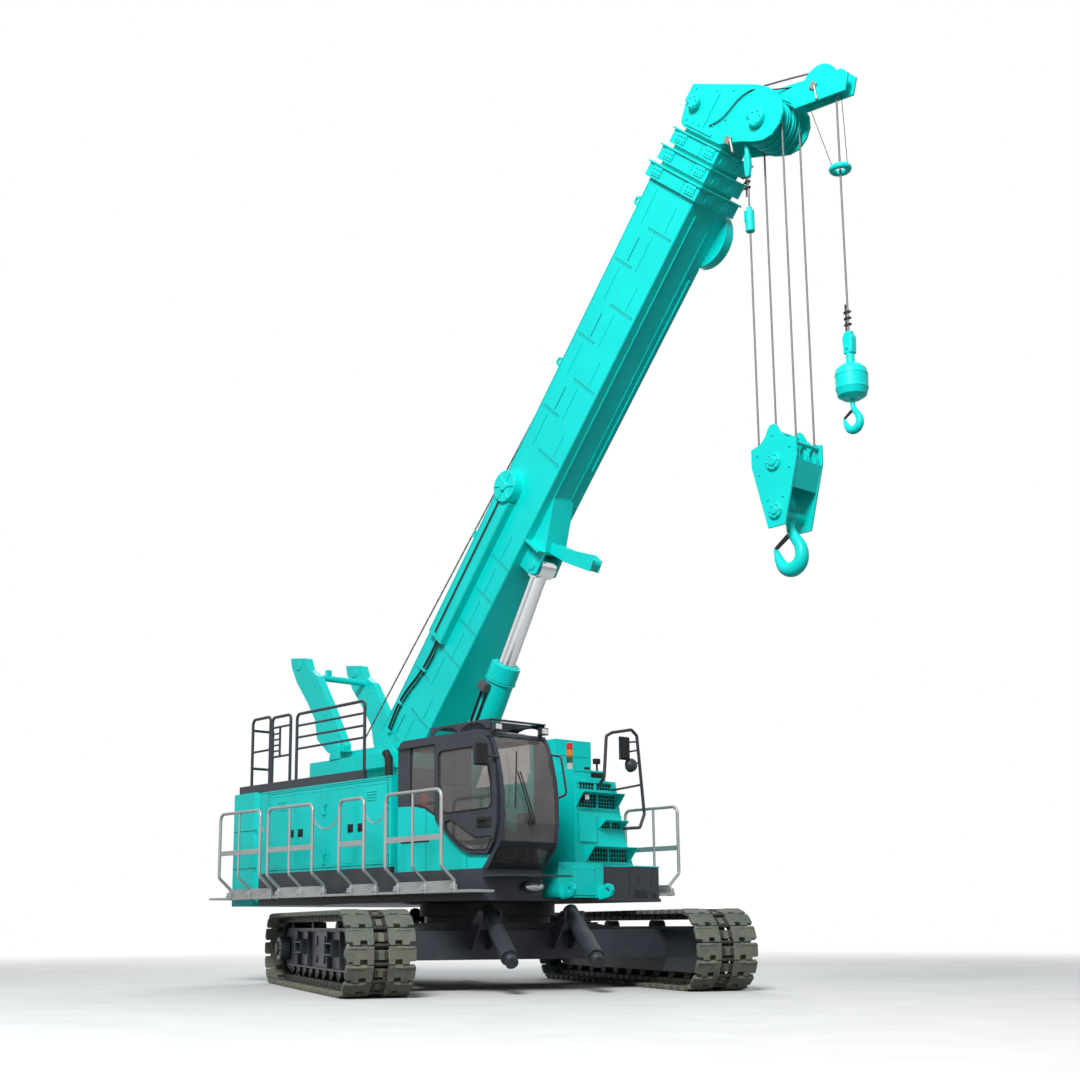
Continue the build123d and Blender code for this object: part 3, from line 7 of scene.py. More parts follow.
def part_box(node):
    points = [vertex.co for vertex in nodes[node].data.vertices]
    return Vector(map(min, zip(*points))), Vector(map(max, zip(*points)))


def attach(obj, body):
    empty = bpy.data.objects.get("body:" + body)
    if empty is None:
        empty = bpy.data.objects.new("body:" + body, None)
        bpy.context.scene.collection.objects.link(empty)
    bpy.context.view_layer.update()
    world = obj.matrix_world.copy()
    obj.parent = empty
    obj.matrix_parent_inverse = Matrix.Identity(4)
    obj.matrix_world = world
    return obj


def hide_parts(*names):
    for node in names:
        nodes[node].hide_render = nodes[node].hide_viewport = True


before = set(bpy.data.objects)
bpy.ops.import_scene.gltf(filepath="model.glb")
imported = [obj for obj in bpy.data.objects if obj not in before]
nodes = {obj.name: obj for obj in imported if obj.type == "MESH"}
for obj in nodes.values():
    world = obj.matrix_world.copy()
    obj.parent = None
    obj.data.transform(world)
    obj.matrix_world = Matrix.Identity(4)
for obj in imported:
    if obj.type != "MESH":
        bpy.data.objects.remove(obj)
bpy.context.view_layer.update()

bpy.ops.object.select_all(action='DESELECT')

# ---- Camera: a long lens held low, off the machine's right front corner, that looks up along the boom. Its
# shift keeps the tracks and the head in the frame.
bpy.ops.object.camera_add(location=(14.346, -12.090, 0.758))
camera = bpy.context.object
camera.name = "view_camera"
rise = radians(10.73)
aim = Vector((-0.7576 * cos(rise), 0.6527 * cos(rise), sin(rise)))
tilt = Matrix.Rotation(radians(-0.32), 3, 'Z')
camera.rotation_euler = (aim.to_track_quat('-Z', 'Y').to_matrix() @ tilt).to_euler()
camera.data.lens = 48.23
camera.data.sensor_width = 36.0
camera.data.shift_x = 0.0353
camera.data.shift_y = 0.1028
camera.data.clip_end = 400.0
bpy.context.scene.camera = camera
bpy.context.scene.view_settings.view_transform = 'Standard'

# ---- Yard floor: pale, slightly mottled concrete that keeps the machine's shadow and fades to white far
# off. It throws little light back on the machine from below.


def put(tree, kind, sockets=(), **settings):
    """Adds a node to a tree, with its sockets filled or linked and its settings made."""
    node = tree.nodes.new("ShaderNode" + kind)
    for key, value in settings.items():
        setattr(node, key, value)
    for key, value in dict(sockets).items():
        if isinstance(value, bpy.types.NodeSocket):
            tree.links.new(value, node.inputs[key])
        else:
            node.inputs[key].default_value = value
    return node


def new_material(name):
    """Material with an empty tree and its Principled shader wired to the output."""
    material = bpy.data.materials.new(name)
    material.use_nodes = True
    tree = material.node_tree
    tree.nodes.clear()
    shader = tree.nodes.new("ShaderNodeBsdfPrincipled")
    output = tree.nodes.new("ShaderNodeOutputMaterial")
    tree.links.new(shader.outputs[0], output.inputs[0])
    return material, tree, shader


bpy.ops.mesh.primitive_plane_add(size=160.0, location=(0.0, 0.0, -0.002))
floor = bpy.context.object
floor.name = "yard_floor"
floor_paint, tree, shader = new_material("pale_concrete")
place = put(tree, "TexCoord").outputs["Object"]
grain = put(tree, "TexNoise", {"Vector": place, "Scale": 1.4, "Detail": 6.0})
tone = put(tree, "MapRange", {"Value": grain.outputs["Fac"], "From Min": 0.3, "From Max": 0.7, "To Min": 0.74,
                              "To Max": 0.80})
seen = put(tree, "LightPath")
looked_at = put(tree, "Math", {0: seen.outputs["Is Camera Ray"], 1: seen.outputs["Is Glossy Ray"]},
                operation='MAXIMUM')
looked_at = put(tree, "Math", {0: looked_at.outputs[0], 1: seen.outputs["Is Transmission Ray"]},
                operation='MAXIMUM')
pale = put(tree, "MapRange", {"Value": looked_at.outputs[0], "To Min": 0.28, "To Max": 1.0})
tone = put(tree, "Math", {0: tone.outputs[0], 1: pale.outputs[0]}, operation='MULTIPLY')
grey = put(tree, "CombineColor", {0: tone.outputs[0], 1: tone.outputs[0], 2: tone.outputs[0]})
tree.links.new(grey.outputs[0], shader.inputs["Base Color"])
shader.inputs["Roughness"].default_value = 0.9
shader.inputs["Specular IOR Level"].default_value = 0.1
reach = put(tree, "VectorMath", {0: place}, operation='LENGTH')
fade = put(tree, "MapRange", {"Value": reach.outputs["Value"], "From Min": 9.0, "From Max": 26.0},
           interpolation_type='SMOOTHSTEP')
white = put(tree, "Emission", {"Color": (1.0, 1.0, 1.0, 1.0), "Strength": 1.0})
both = put(tree, "Math", {0: fade.outputs[0], 1: seen.outputs["Is Camera Ray"]}, operation='MULTIPLY')
mixed = put(tree, "MixShader", {0: both.outputs[0], 1: shader.outputs[0], 2: white.outputs[0]})
tree.links.new(mixed.outputs[0], tree.nodes["Material Output"].inputs[0])
floor.data.materials.append(floor_paint)

# ---- Light: a pale sky that is seen as white, one broad soft key from the front right, and a weaker fill
# from behind on the left.
world = bpy.data.worlds.new("soft_sky")
bpy.context.scene.world = world
world.use_nodes = True
tree = world.node_tree
tree.nodes.clear()
seen = put(tree, "LightPath")
direct = put(tree, "Math", {0: seen.outputs["Is Camera Ray"], 1: seen.outputs["Is Glossy Ray"]},
             operation='MAXIMUM')
direct = put(tree, "Math", {0: direct.outputs[0], 1: seen.outputs["Is Transmission Ray"]},
             operation='MAXIMUM')
ambient = put(tree, "Background", {"Color": (0.92, 0.96, 1.0, 1.0), "Strength": 0.32})
plain = put(tree, "Background", {"Color": (1.0, 1.0, 1.0, 1.0), "Strength": 1.0})
sky = put(tree, "MixShader", {0: direct.outputs[0], 1: ambient.outputs[0], 2: plain.outputs[0]})
sky_output = tree.nodes.new("ShaderNodeOutputWorld")
tree.links.new(sky.outputs[0], sky_output.inputs[0])
for name, spot, target, size, power in (("key_light", (13.0, -16.5, 18.0), (0.5, 0.0, 3.5), 7.0, 6000.0),
                                        ("fill_light", (-14.0, 12.0, 12.0), (0.0, 0.0, 3.0), 8.0, 1500.0)):
    bpy.ops.object.light_add(type='AREA', location=spot)
    lamp = bpy.context.object
    lamp.name = name
    lamp.data.size = size
    lamp.data.energy = power
    lamp.rotation_euler = (Vector(target) - Vector(spot)).to_track_quat('-Z', 'Y').to_euler()

# ---- Track shoes: forged steel shoes, each with a ribbed tread, a notched edge and a pair of link ears
# inside, pinned into one loop that is laid round the frame. The paint is worn off by the ground, and like
# all the machine they are streaked by rain, dusty on top and rubbed at their corners.


def new_group(name, inputs, outputs):
    """Node group with its sockets; gives the group, its Object coordinates and its two end nodes."""
    group = bpy.data.node_groups.new(name, 'ShaderNodeTree')
    for label, kind, value in inputs:
        socket = group.interface.new_socket(label, in_out='INPUT', socket_type='NodeSocket' + kind)
        socket.default_value = value
    for label, kind in outputs:
        group.interface.new_socket(label, in_out='OUTPUT', socket_type='NodeSocket' + kind)
    place = put(group, "TexCoord").outputs["Object"]
    return group, place, group.nodes.new("NodeGroupInput"), group.nodes.new("NodeGroupOutput")


corner_group, place, given, result = new_group("rounded_corners", [("Radius", "Float", 0.006)],
                                               [("Normal", "Vector"), ("Corner", "Float")])
soft = put(corner_group, "Bevel", {"Radius": given.outputs["Radius"]}, samples=4)
flat = put(corner_group, "NewGeometry")
apart = put(corner_group, "VectorMath", {0: soft.outputs[0], 1: flat.outputs["Normal"]}, operation='DISTANCE')
corner = put(corner_group, "MapRange", {"Value": apart.outputs["Value"], "From Min": 0.12, "From Max": 0.55})
corner_group.links.new(soft.outputs[0], result.inputs["Normal"])
corner_group.links.new(corner.outputs[0], result.inputs["Corner"])

weather_group, place, given, result = new_group("weather",
                                                [("Colour", "Color", (0.5, 0.5, 0.5, 1.0)),
                                                 ("Dirt", "Color", (0.20, 0.18, 0.15, 1.0)),
                                                 ("Streaks", "Float", 0.3), ("Dust", "Float", 0.3),
                                                 ("Low Dirt", "Float", 0.3), ("Roughness", "Float", 0.4)],
                                                [("Colour", "Color"), ("Roughness", "Float"),
                                                 ("Height", "Float")])
broad = put(weather_group, "TexNoise", {"Vector": place, "Scale": 0.9, "Detail": 5.0, "Roughness": 0.6})
shade = put(weather_group, "MapRange", {"Value": broad.outputs["Fac"], "From Min": 0.3, "From Max": 0.7,
                                        "To Min": 0.90, "To Max": 1.05})
varied = put(weather_group, "VectorMath", {0: given.outputs["Colour"], "Scale": shade.outputs[0]},
             operation='SCALE')
drawn = put(weather_group, "Mapping", {"Vector": place, "Scale": (9.0, 9.0, 0.7)})
streak = put(weather_group, "TexNoise", {"Vector": drawn.outputs[0], "Scale": 1.6, "Detail": 4.0,
                                         "Roughness": 0.65})
streak = put(weather_group, "MapRange", {"Value": streak.outputs["Fac"], "From Min": 0.56, "From Max": 0.80})
streak = put(weather_group, "Math", {0: streak.outputs[0], 1: given.outputs["Streaks"]}, operation='MULTIPLY')
facing = put(weather_group, "SeparateXYZ", {0: put(weather_group, "NewGeometry").outputs["Normal"]})
tops = put(weather_group, "MapRange", {"Value": facing.outputs["Z"], "From Min": 0.55, "From Max": 1.0})
speck = put(weather_group, "TexNoise", {"Vector": place, "Scale": 7.0, "Detail": 6.0, "Roughness": 0.7})
speck = put(weather_group, "MapRange", {"Value": speck.outputs["Fac"], "From Min": 0.35, "From Max": 0.72})
lying = put(weather_group, "Math", {0: tops.outputs[0], 1: speck.outputs[0]}, operation='MULTIPLY')
lying = put(weather_group, "Math", {0: lying.outputs[0], 1: given.outputs["Dust"]}, operation='MULTIPLY')
height = put(weather_group, "SeparateXYZ", {0: place})
low = put(weather_group, "MapRange", {"Value": height.outputs["Z"], "From Min": 1.6, "From Max": 0.0})
low = put(weather_group, "Math", {0: low.outputs[0], 1: speck.outputs[0]}, operation='MULTIPLY')
low = put(weather_group, "Math", {0: low.outputs[0], 1: given.outputs["Low Dirt"]}, operation='MULTIPLY')
most = put(weather_group, "Math", {0: streak.outputs[0], 1: lying.outputs[0]}, operation='MAXIMUM')
most = put(weather_group, "Math", {0: most.outputs[0], 1: low.outputs[0]}, operation='MAXIMUM')
soiled = weather_group.nodes.new("ShaderNodeMix")
soiled.data_type = 'RGBA'
weather_group.links.new(most.outputs[0], soiled.inputs[0])
weather_group.links.new(varied.outputs[0], soiled.inputs[6])
weather_group.links.new(given.outputs["Dirt"], soiled.inputs[7])
duller = put(weather_group, "Math", {0: most.outputs[0], 1: 0.45, 2: given.outputs["Roughness"]},
             operation='MULTIPLY_ADD')
peel = put(weather_group, "TexNoise", {"Vector": place, "Scale": 90.0, "Detail": 2.0})
weather_group.links.new(soiled.outputs[2], result.inputs["Colour"])
weather_group.links.new(duller.outputs[0], result.inputs["Roughness"])
weather_group.links.new(peel.outputs["Fac"], result.inputs["Height"])


def add_group(tree, group, **sockets):
    """Places a node group in a tree, its sockets named with _ for a space."""
    node = tree.nodes.new("ShaderNodeGroup")
    node.node_tree = group
    for key, value in sockets.items():
        key = key.replace("_", " ")
        if isinstance(value, bpy.types.NodeSocket):
            tree.links.new(value, node.inputs[key])
        else:
            node.inputs[key].default_value = value
    return node


def painted(name, colour, dirt, streaks, dust, low_dirt, roughness, rubbed, coat=0.0, metallic=0.0,
            bump=0.05):
    """A painted or bare finish that has weathered, with its corners rubbed to another colour."""
    material, tree, shader = new_material(name)
    worn = add_group(tree, weather_group, Colour=colour, Dirt=dirt, Streaks=streaks, Dust=dust,
                     Low_Dirt=low_dirt, Roughness=roughness)
    corners = add_group(tree, corner_group, Radius=0.007)
    rub = put(tree, "TexNoise", {"Vector": put(tree, "TexCoord").outputs["Object"], "Scale": 16.0,
                                 "Detail": 4.0})
    rub = put(tree, "MapRange", {"Value": rub.outputs["Fac"], "From Min": 0.48, "From Max": 0.66})
    rub = put(tree, "Math", {0: rub.outputs[0], 1: corners.outputs["Corner"]}, operation='MULTIPLY')
    blend = tree.nodes.new("ShaderNodeMix")
    blend.data_type = 'RGBA'
    tree.links.new(rub.outputs[0], blend.inputs[0])
    tree.links.new(worn.outputs["Colour"], blend.inputs[6])
    blend.inputs[7].default_value = rubbed
    tree.links.new(blend.outputs[2], shader.inputs["Base Color"])
    tree.links.new(worn.outputs["Roughness"], shader.inputs["Roughness"])
    shader.inputs["Metallic"].default_value = metallic
    shader.inputs["Coat Weight"].default_value = coat
    shader.inputs["Coat Roughness"].default_value = 0.2
    shader.inputs["Specular IOR Level"].default_value = 0.24
    fine = put(tree, "Bump", {"Height": worn.outputs["Height"], "Normal": corners.outputs["Normal"],
                              "Strength": bump, "Distance": 0.002})
    tree.links.new(fine.outputs[0], shader.inputs["Normal"])
    return material


def finish(material, *names):
    """Gives a finish to solids that already have their shape."""
    for name in names:
        nodes[name].material_slots[0].material = material


track_steel = painted("track_steel", (0.105, 0.135, 0.120, 1.0), dirt=(0.30, 0.265, 0.195, 1.0), streaks=0.7,
                      dust=0.5, low_dirt=1.0, roughness=0.62, rubbed=(0.50, 0.47, 0.38, 1.0), metallic=0.2,
                      bump=0.5)
greasy_steel = painted("greasy_steel", (0.035, 0.034, 0.032, 1.0), dirt=(0.15, 0.13, 0.10, 1.0), streaks=0.4,
                       dust=0.5, low_dirt=0.55, roughness=0.48, rubbed=(0.22, 0.21, 0.19, 1.0), metallic=0.6,
                       bump=0.2)
finish(track_steel, "track_left", "track_right")
finish(greasy_steel, "track_rollers_left", "track_rollers_right", "drive_wheel_left", "drive_wheel_right",
       "idler_left", "idler_right")

TRAVEL = Matrix.Rotation(radians(-22.6), 4, 'Z')   # heading that the tracks stand at
LOOP_R = 0.465           # of the loop round its wheels, at the tread
LOOP_X = 2.245           # of the wheels, before and behind the middle
TRACK_Y = 2.020          # of each track's middle
SHOES = 58
SIDES = ((1, "left"), (-1, "right"))


def deselect():
    bpy.ops.object.select_all(action='DESELECT')


def block(name, x, y, z, bevel=0.0):
    """Block between two corners, its edges bevelled, left as the active object."""
    deselect()
    bpy.ops.mesh.primitive_cube_add(size=1.0, location=((x[0] + x[1]) / 2, (y[0] + y[1]) / 2,
                                                        (z[0] + z[1]) / 2))
    piece = bpy.context.object
    piece.name = name
    piece.scale = (x[1] - x[0], y[1] - y[0], z[1] - z[0])
    bpy.ops.object.transform_apply(location=True, rotation=True, scale=True)
    if bevel:
        bpy.ops.object.mode_set(mode='EDIT')
        bpy.ops.mesh.select_all(action='SELECT')
        bpy.ops.mesh.bevel(offset=bevel, segments=1, affect='EDGES')
        bpy.ops.object.mode_set(mode='OBJECT')
    return piece


def bar(name, start, end, radius, sides=16, bevel=0.0):
    """Round bar between two points, its ends chamfered."""
    start, end = Vector(start), Vector(end)
    deselect()
    bpy.ops.mesh.primitive_cylinder_add(vertices=sides, radius=radius, depth=(end - start).length)
    piece = bpy.context.object
    piece.name = name
    if bevel:
        bpy.ops.object.mode_set(mode='EDIT')
        bpy.ops.mesh.select_mode(type='FACE')
        bpy.ops.mesh.select_all(action='DESELECT')
        bpy.ops.object.mode_set(mode='OBJECT')
        for face in piece.data.polygons:
            face.select = abs(face.normal.z) > 0.9
        bpy.ops.object.mode_set(mode='EDIT')
        bpy.ops.mesh.bevel(offset=bevel, segments=1, affect='EDGES')
        bpy.ops.object.mode_set(mode='OBJECT')
    turn = (end - start).to_track_quat('Z', 'Y').to_matrix().to_4x4()
    piece.data.transform(Matrix.Translation((start + end) / 2) @ turn)
    return piece


def sheet_cut(name, outline, axis, start, end, bevel=0.0):
    """Plate cut to an outline, square to the axis it is extruded along."""
    deselect()
    bpy.ops.mesh.primitive_circle_add(vertices=len(outline), radius=1.0, fill_type='NGON')
    piece = bpy.context.object
    piece.name = name
    for vertex, (u, v) in zip(piece.data.vertices, outline):
        vertex.co = {'X': (start, u, v), 'Y': (u, start, v), 'Z': (u, v, start)}[axis]
    push = Vector({'X': (1, 0, 0), 'Y': (0, 1, 0), 'Z': (0, 0, 1)}[axis]) * (end - start)
    bpy.ops.object.mode_set(mode='EDIT')
    bpy.ops.mesh.select_all(action='SELECT')
    bpy.ops.mesh.extrude_region_move(TRANSFORM_OT_translate={"value": push})
    bpy.ops.mesh.select_all(action='SELECT')
    bpy.ops.mesh.normals_make_consistent(inside=False)
    if bevel:
        bpy.ops.mesh.select_mode(type='EDGE')
        bpy.ops.mesh.edges_select_sharp(sharpness=radians(25))
        bpy.ops.mesh.bevel(offset=bevel, segments=1, affect='EDGES')
    bpy.ops.object.mode_set(mode='OBJECT')
    return piece


def merge(name, parts):
    """Joins loose parts into one piece."""
    deselect()
    for part in parts:
        part.select_set(True)
    bpy.context.view_layer.objects.active = parts[0]
    if len(parts) > 1:
        bpy.ops.object.join()
    piece = bpy.context.object
    piece.name = name
    return piece


def copies(piece, places):
    """One copy of a part at each place."""
    made = []
    for place in places:
        twin = piece.copy()
        twin.data = piece.data.copy()
        twin.data.transform(place)
        bpy.context.scene.collection.objects.link(twin)
        made.append(twin)
    return made


def spread(piece, places):
    """A part at each place, the first part itself used up."""
    made = copies(piece, places)
    bpy.data.objects.remove(piece)
    return made


def fit(name, parts, body, material, place=None, smooth=32):
    """Makes one piece of its parts, puts its place into its mesh, finishes it and mounts it on a body."""
    piece = merge(name, parts)
    if place is not None:
        piece.data.transform(place)
    piece.data.materials.clear()
    piece.data.materials.append(material)
    deselect()
    piece.select_set(True)
    bpy.context.view_layer.objects.active = piece
    bpy.ops.object.shade_smooth_by_angle(angle=radians(smooth))
    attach(piece, body)
    return piece


def loop_place(distance):
    """Where a shoe sits on the loop: its middle on the tread, X along the loop and Z outwards."""
    straight, arc = 2 * LOOP_X, pi * LOOP_R
    distance %= 2 * (straight + arc)
    if distance < straight:
        at, turn = (distance - LOOP_X, LOOP_R), 0.0
    elif distance < straight + arc:
        turn = (distance - straight) / LOOP_R
        at = (LOOP_X + LOOP_R * sin(turn), LOOP_R * cos(turn))
    elif distance < 2 * straight + arc:
        at, turn = (LOOP_X - distance + straight + arc, -LOOP_R), pi
    else:
        turn = (distance - 2 * straight - arc) / LOOP_R + pi
        at = (-LOOP_X + LOOP_R * sin(turn), LOOP_R * cos(turn))
    return Matrix.Translation((at[0], 0.0, at[1] + LOOP_R)) @ Matrix.Rotation(turn, 4, 'Y')


pitch = 2 * (2 * LOOP_X + pi * LOOP_R) / SHOES
shoe, links = [], []
for side in (-1, 1):
    edge = [(-0.092, 0.078), (0.062, 0.078), (0.100, 0.086), (0.100, 0.148), (0.045, 0.152), (0.045, 0.226),
            (0.100, 0.230), (0.100, 0.300), (0.066, 0.312), (0.066, 0.366), (0.052, 0.380), (-0.070, 0.380),
            (-0.092, 0.366)]
    shoe.append(sheet_cut("plate", [(x, side * y) for x, y in edge], 'Z', -0.050, -0.003, 0.005))
    links.append(sheet_cut("ear", [(-0.098, -0.118), (-0.080, -0.050), (0.080, -0.050), (0.098, -0.118)], 'Y',
                           *sorted((side * 0.085, side * 0.150)), 0.005))
    links.append(block("lap", (0.030, 0.118), sorted((side * 0.140, side * 0.240)), (-0.060, -0.0515), 0.003))
    links.append(block("horn", (-0.050, 0.050), sorted((side * 0.034, side * 0.070)), (-0.060, -0.006),
                       0.008))
shoe.append(block("middle", (-0.052, 0.052), (-0.082, 0.082), (-0.050, -0.022), 0.006))
for y in (-0.262, 0.262):
    shoe.append(block("grouser", (-0.085, -0.060), (y - 0.10, y + 0.10), (-0.010, 0.004), 0.005))
links.append(bar("pin", (-0.1026, -0.080, -0.030), (-0.1026, 0.080, -0.030), 0.020, 10))
links = merge("links", links)
shoe = merge("shoe", shoe)
for side, hand in SIDES:
    spots = [Matrix.Translation((0.0, side * TRACK_Y, 0.0)) @ loop_place((i + 0.5) * pitch)
             for i in range(SHOES)]
    loop = fit("shoes_" + hand, copies(shoe, spots), "undercarriage", track_steel, TRAVEL)
    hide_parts("track_" + hand)
    fit("links_" + hand, copies(links, spots), "undercarriage", greasy_steel, TRAVEL)
for pattern in (shoe, links):
    bpy.data.objects.remove(pattern)

# ---- Side frame trim: final-drive covers bolted over each drive wheel, tensioner covers at the idlers,
# roller caps, inspection ports, ribs and step irons along the plate. Cast and welded, painted with the
# frame.
slate = painted("slate_enamel", (0.036, 0.043, 0.057, 1.0), dirt=(0.13, 0.125, 0.115, 1.0), streaks=0.22,
                dust=0.35, low_dirt=0.3, roughness=0.42, rubbed=(0.11, 0.12, 0.13, 1.0), coat=0.15)
zinc_bolt = painted("plated_bolts", (0.38, 0.37, 0.33, 1.0), dirt=(0.14, 0.12, 0.09, 1.0), streaks=0.3,
                    dust=0.3, low_dirt=0.3, roughness=0.35, rubbed=(0.6, 0.58, 0.52, 1.0), metallic=0.85)
finish(slate, "track_frame_left", "track_frame_right")
FRAME_FACE = 0.119       # of a frame's side plate, out from the middle of its track
COVER_FACE = 0.216       # of the castings that the wheels' covers are bolted to


def bolt_ring(name, centre, axis, radius, count, size=0.016, high=0.012):
    """Hexagon heads on washers, evenly round a circle that faces along the axis."""
    head = merge("head", [bar("hex", (0, 0, 0), (0, 0, high), size, 6, 0.002),
                          bar("washer", (0, 0, 0), (0, 0, 0.004), size * 1.35, 12)])
    face = Vector(axis).to_track_quat('Z', 'Y').to_matrix().to_4x4()
    out = Matrix.Translation((radius, 0, 0))
    spots = [Matrix.Translation(centre) @ face @ Matrix.Rotation(2 * pi * i / count, 4, 'Z') @ out
             for i in range(count)]
    return merge(name, spread(head, spots))


for side, hand in SIDES:
    for x, name in ((-LOOP_X, "drive"), (LOOP_X, "idler")):
        out = side * (TRACK_Y + COVER_FACE)
        caps, heads = [], []
        wide, bolts = (1.0, 14) if name == "drive" else (0.66, 8)
        caps.append(bar("cover", (x, out - side * 0.09, LOOP_R), (x, out + side * 0.045, LOOP_R),
                        0.165 * wide, 40, 0.012))
        caps.append(bar("boss", (x, out, LOOP_R), (x, out + side * 0.085, LOOP_R), 0.085 * wide, 32, 0.008))
        heads.append(bolt_ring("bolts", (x, out + side * 0.045, LOOP_R), (0, side, 0), 0.135 * wide, bolts))
        fit(name + "_cover_" + hand, caps, "undercarriage", slate, TRAVEL)
        fit(name + "_bolts_" + hand, heads, "undercarriage", zinc_bolt, TRAVEL)
for side, hand in SIDES:
    out = side * (TRACK_Y + FRAME_FACE)
    ribs = []
    for x in (-1.35, -0.62, 0.62, 1.35):
        ribs.append(block("rib", (x - 0.011, x + 0.011), sorted((out, out + side * 0.055)), (0.27, 0.70),
                          0.003))
    ribs.append(block("flange", (-1.95, 1.95), sorted((out, out + side * 0.060)), (0.245, 0.268), 0.004))
    ribs.append(block("flange", (-1.75, 1.75), sorted((out, out + side * 0.035)), (0.690, 0.706), 0.004))
    for x in (0.98, -0.98):
        for z in (0.43, 0.56):
            ribs.append(block("step", (x - 0.19, x + 0.19), sorted((out, out + side * 0.120)),
                              (z - 0.008, z + 0.008), 0.003))
        for at in (x - 0.19, x + 0.19):
            ribs.append(block("cheek", (at - 0.007, at + 0.007), sorted((out, out + side * 0.120)),
                              (0.41, 0.60), 0.003))
    for x in (-0.25, 0.25):
        ribs.append(bar("port", (x, out - side * 0.01, 0.36), (x, out + side * 0.022, 0.36), 0.045, 24,
                        0.004))
        ribs.append(bar("port", (x, out - side * 0.01, 0.58), (x, out + side * 0.014, 0.58), 0.060, 24,
                        0.004))
    for i in range(9):
        x = -1.72 + 3.44 * i / 8
        ribs.append(bar("cap", (x, out - side * 0.01, 0.215), (x, out + side * 0.030, 0.215), 0.040, 20,
                        0.005))
    fit("frame_ribs_" + hand, ribs, "undercarriage", slate, TRAVEL)

# ---- Boom trim: stiffening strips welded along the side plates, with thin black strips beside them that are
# painted shadows of the strips, rails on the underside, wear-pad covers bolted to every collar and the lip
# round its mouth. Flat bar and plate, enamelled with the boom.
turquoise = painted("turquoise_enamel", (0.0, 0.74, 0.69, 1.0), dirt=(0.10, 0.27, 0.25, 1.0), streaks=0.22,
                    dust=0.25, low_dirt=0.22, roughness=0.42, rubbed=(0.12, 0.50, 0.47, 1.0), coat=0.04)
black_rubber = painted("black_rubber", (0.014, 0.014, 0.015, 1.0), dirt=(0.12, 0.11, 0.10, 1.0), streaks=0.25,
                       dust=0.4, low_dirt=0.4, roughness=0.62, rubbed=(0.05, 0.05, 0.05, 1.0), bump=0.1)
finish(turquoise, "boom_base", "boom_section_2", "boom_section_3")

LUFF = radians(48.8)
# In the boom's own frame X runs along it from its foot pin, and Z is square to it and up: a and b below.
BOOM = Matrix.Translation((-1.9, 0.0, 3.0)) @ Matrix.Rotation(-LUFF, 4, 'Y')
strips, painted_shadow_lines = [], []
for side in (-1, 1):
    face = sorted((side * 0.280, side * 0.2875))
    # The thin black strips beside each bar and rib are painted shadow, where the strips would cast shade on
    # the plate.
    line = sorted((side * 0.280, side * 0.2815))
    for i in range(17):
        a = 0.42 + i * 0.50
        if a > 8.35 or 3.9 < a < 4.6 and side < 0:
            continue
        if side < 0 and 1.9 < a < 4.2:
            strips.append(block("bar", (a - 0.008, a + 0.008), face, (-0.55, -0.12), 0.002))
            strips.append(block("rib", (a + 0.03, a + 0.40), face, (-0.33, -0.322), 0.002))
            painted_shadow_lines.append(block("gap", (a + 0.008, a + 0.014), line, (-0.55, -0.12), 0.0004))
            continue
        low, high = (-0.52, -0.04) if i % 2 else (-0.10, 0.26)
        strips.append(block("bar", (a - 0.008, a + 0.008), face, (low, high), 0.002))
        painted_shadow_lines.append(block("gap", (a + 0.008, a + 0.015), line, (low, high), 0.0004))
        painted_shadow_lines.append(block("gap", (a + 0.05, a + 0.36), line,
                          (-0.358 if i % 2 else 0.014, -0.352 if i % 2 else 0.020), 0.0004))
        strips.append(block("rib", (a, a + 0.44), face, (0.10 if i % 2 else -0.20,
                                                         0.108 if i % 2 else -0.192), 0.002))
        strips.append(block("rib", (a + 0.05, a + 0.36), face,
                            (-0.36 if i % 2 else 0.02, -0.352 if i % 2 else 0.028), 0.002))
    strips.append(block("edge", (0.30, 8.38), face, (0.300, 0.312), 0.003))
    strips.append(block("edge", (0.60, 8.38), face, (-0.572, -0.560), 0.003))
fit("boom_strips", strips, "boom_base", turquoise, BOOM)
fit("boom_painted_shadows", painted_shadow_lines, "boom_base", black_rubber, BOOM)
rails = [block("rail", (4.5, 8.3), (y - 0.012, y + 0.012), (-0.594, -0.580), 0.003) for y in (-0.16, 0.12)]
rails.append(block("stop", (5.0, 7.6), (0.19, 0.22), (-0.61, -0.580), 0.004))
fit("boom_underside_rails", rails, "boom_base", turquoise, BOOM)

# Section of the boom, where its collar ends along the boom, its half width, and its underside and top.
collars = (("boom_base", 8.620, 0.280, -0.580, 0.320), ("boom_section_2", 8.845, 0.248, -0.548, 0.288),
           ("boom_section_3", 9.070, 0.216, -0.516, 0.256))
for body, front, wide, low, high in collars:
    pads, lip = [], []
    for side in (-1, 1):
        out = side * (wide + 0.055)
        for b in (low + 0.09, high - 0.13):
            pads.append(block("pad", (front - 0.150, front - 0.030), sorted((out, out + side * 0.014)),
                              (b - 0.085, b + 0.085), 0.004))
            for row in (-0.055, 0.0, 0.055):
                for along in (-0.115, -0.065):
                    pads.append(bar("stud", (front + along, out + side * 0.010, b + row),
                                    (front + along, out + side * 0.028, b + row), 0.011, 6, 0.002))
        lip.append(block("lip", (front - 0.022, front), sorted((out, out + side * 0.026)),
                         (low - 0.055, high + 0.075), 0.003))
        lip.append(block("tab", (front - 0.17, front - 0.02), sorted((out, out + side * 0.008)),
                         (low + 0.24, low + 0.252), 0.002))
    for b, up in ((high + 0.055, 1), (low - 0.055, -1)):
        lip.append(block("lip", (front - 0.022, front), (-wide - 0.075, wide + 0.075),
                         sorted((b, b + up * 0.024)), 0.003))
        for y in (-0.14, 0.14):
            pads.append(block("pad", (front - 0.150, front - 0.030), (y - 0.06, y + 0.06),
                              sorted((b, b + up * 0.013)), 0.004))
    fit("wear_pads_" + body, pads, body, turquoise, BOOM)
    fit("collar_lip_" + body, lip, body, turquoise, BOOM)
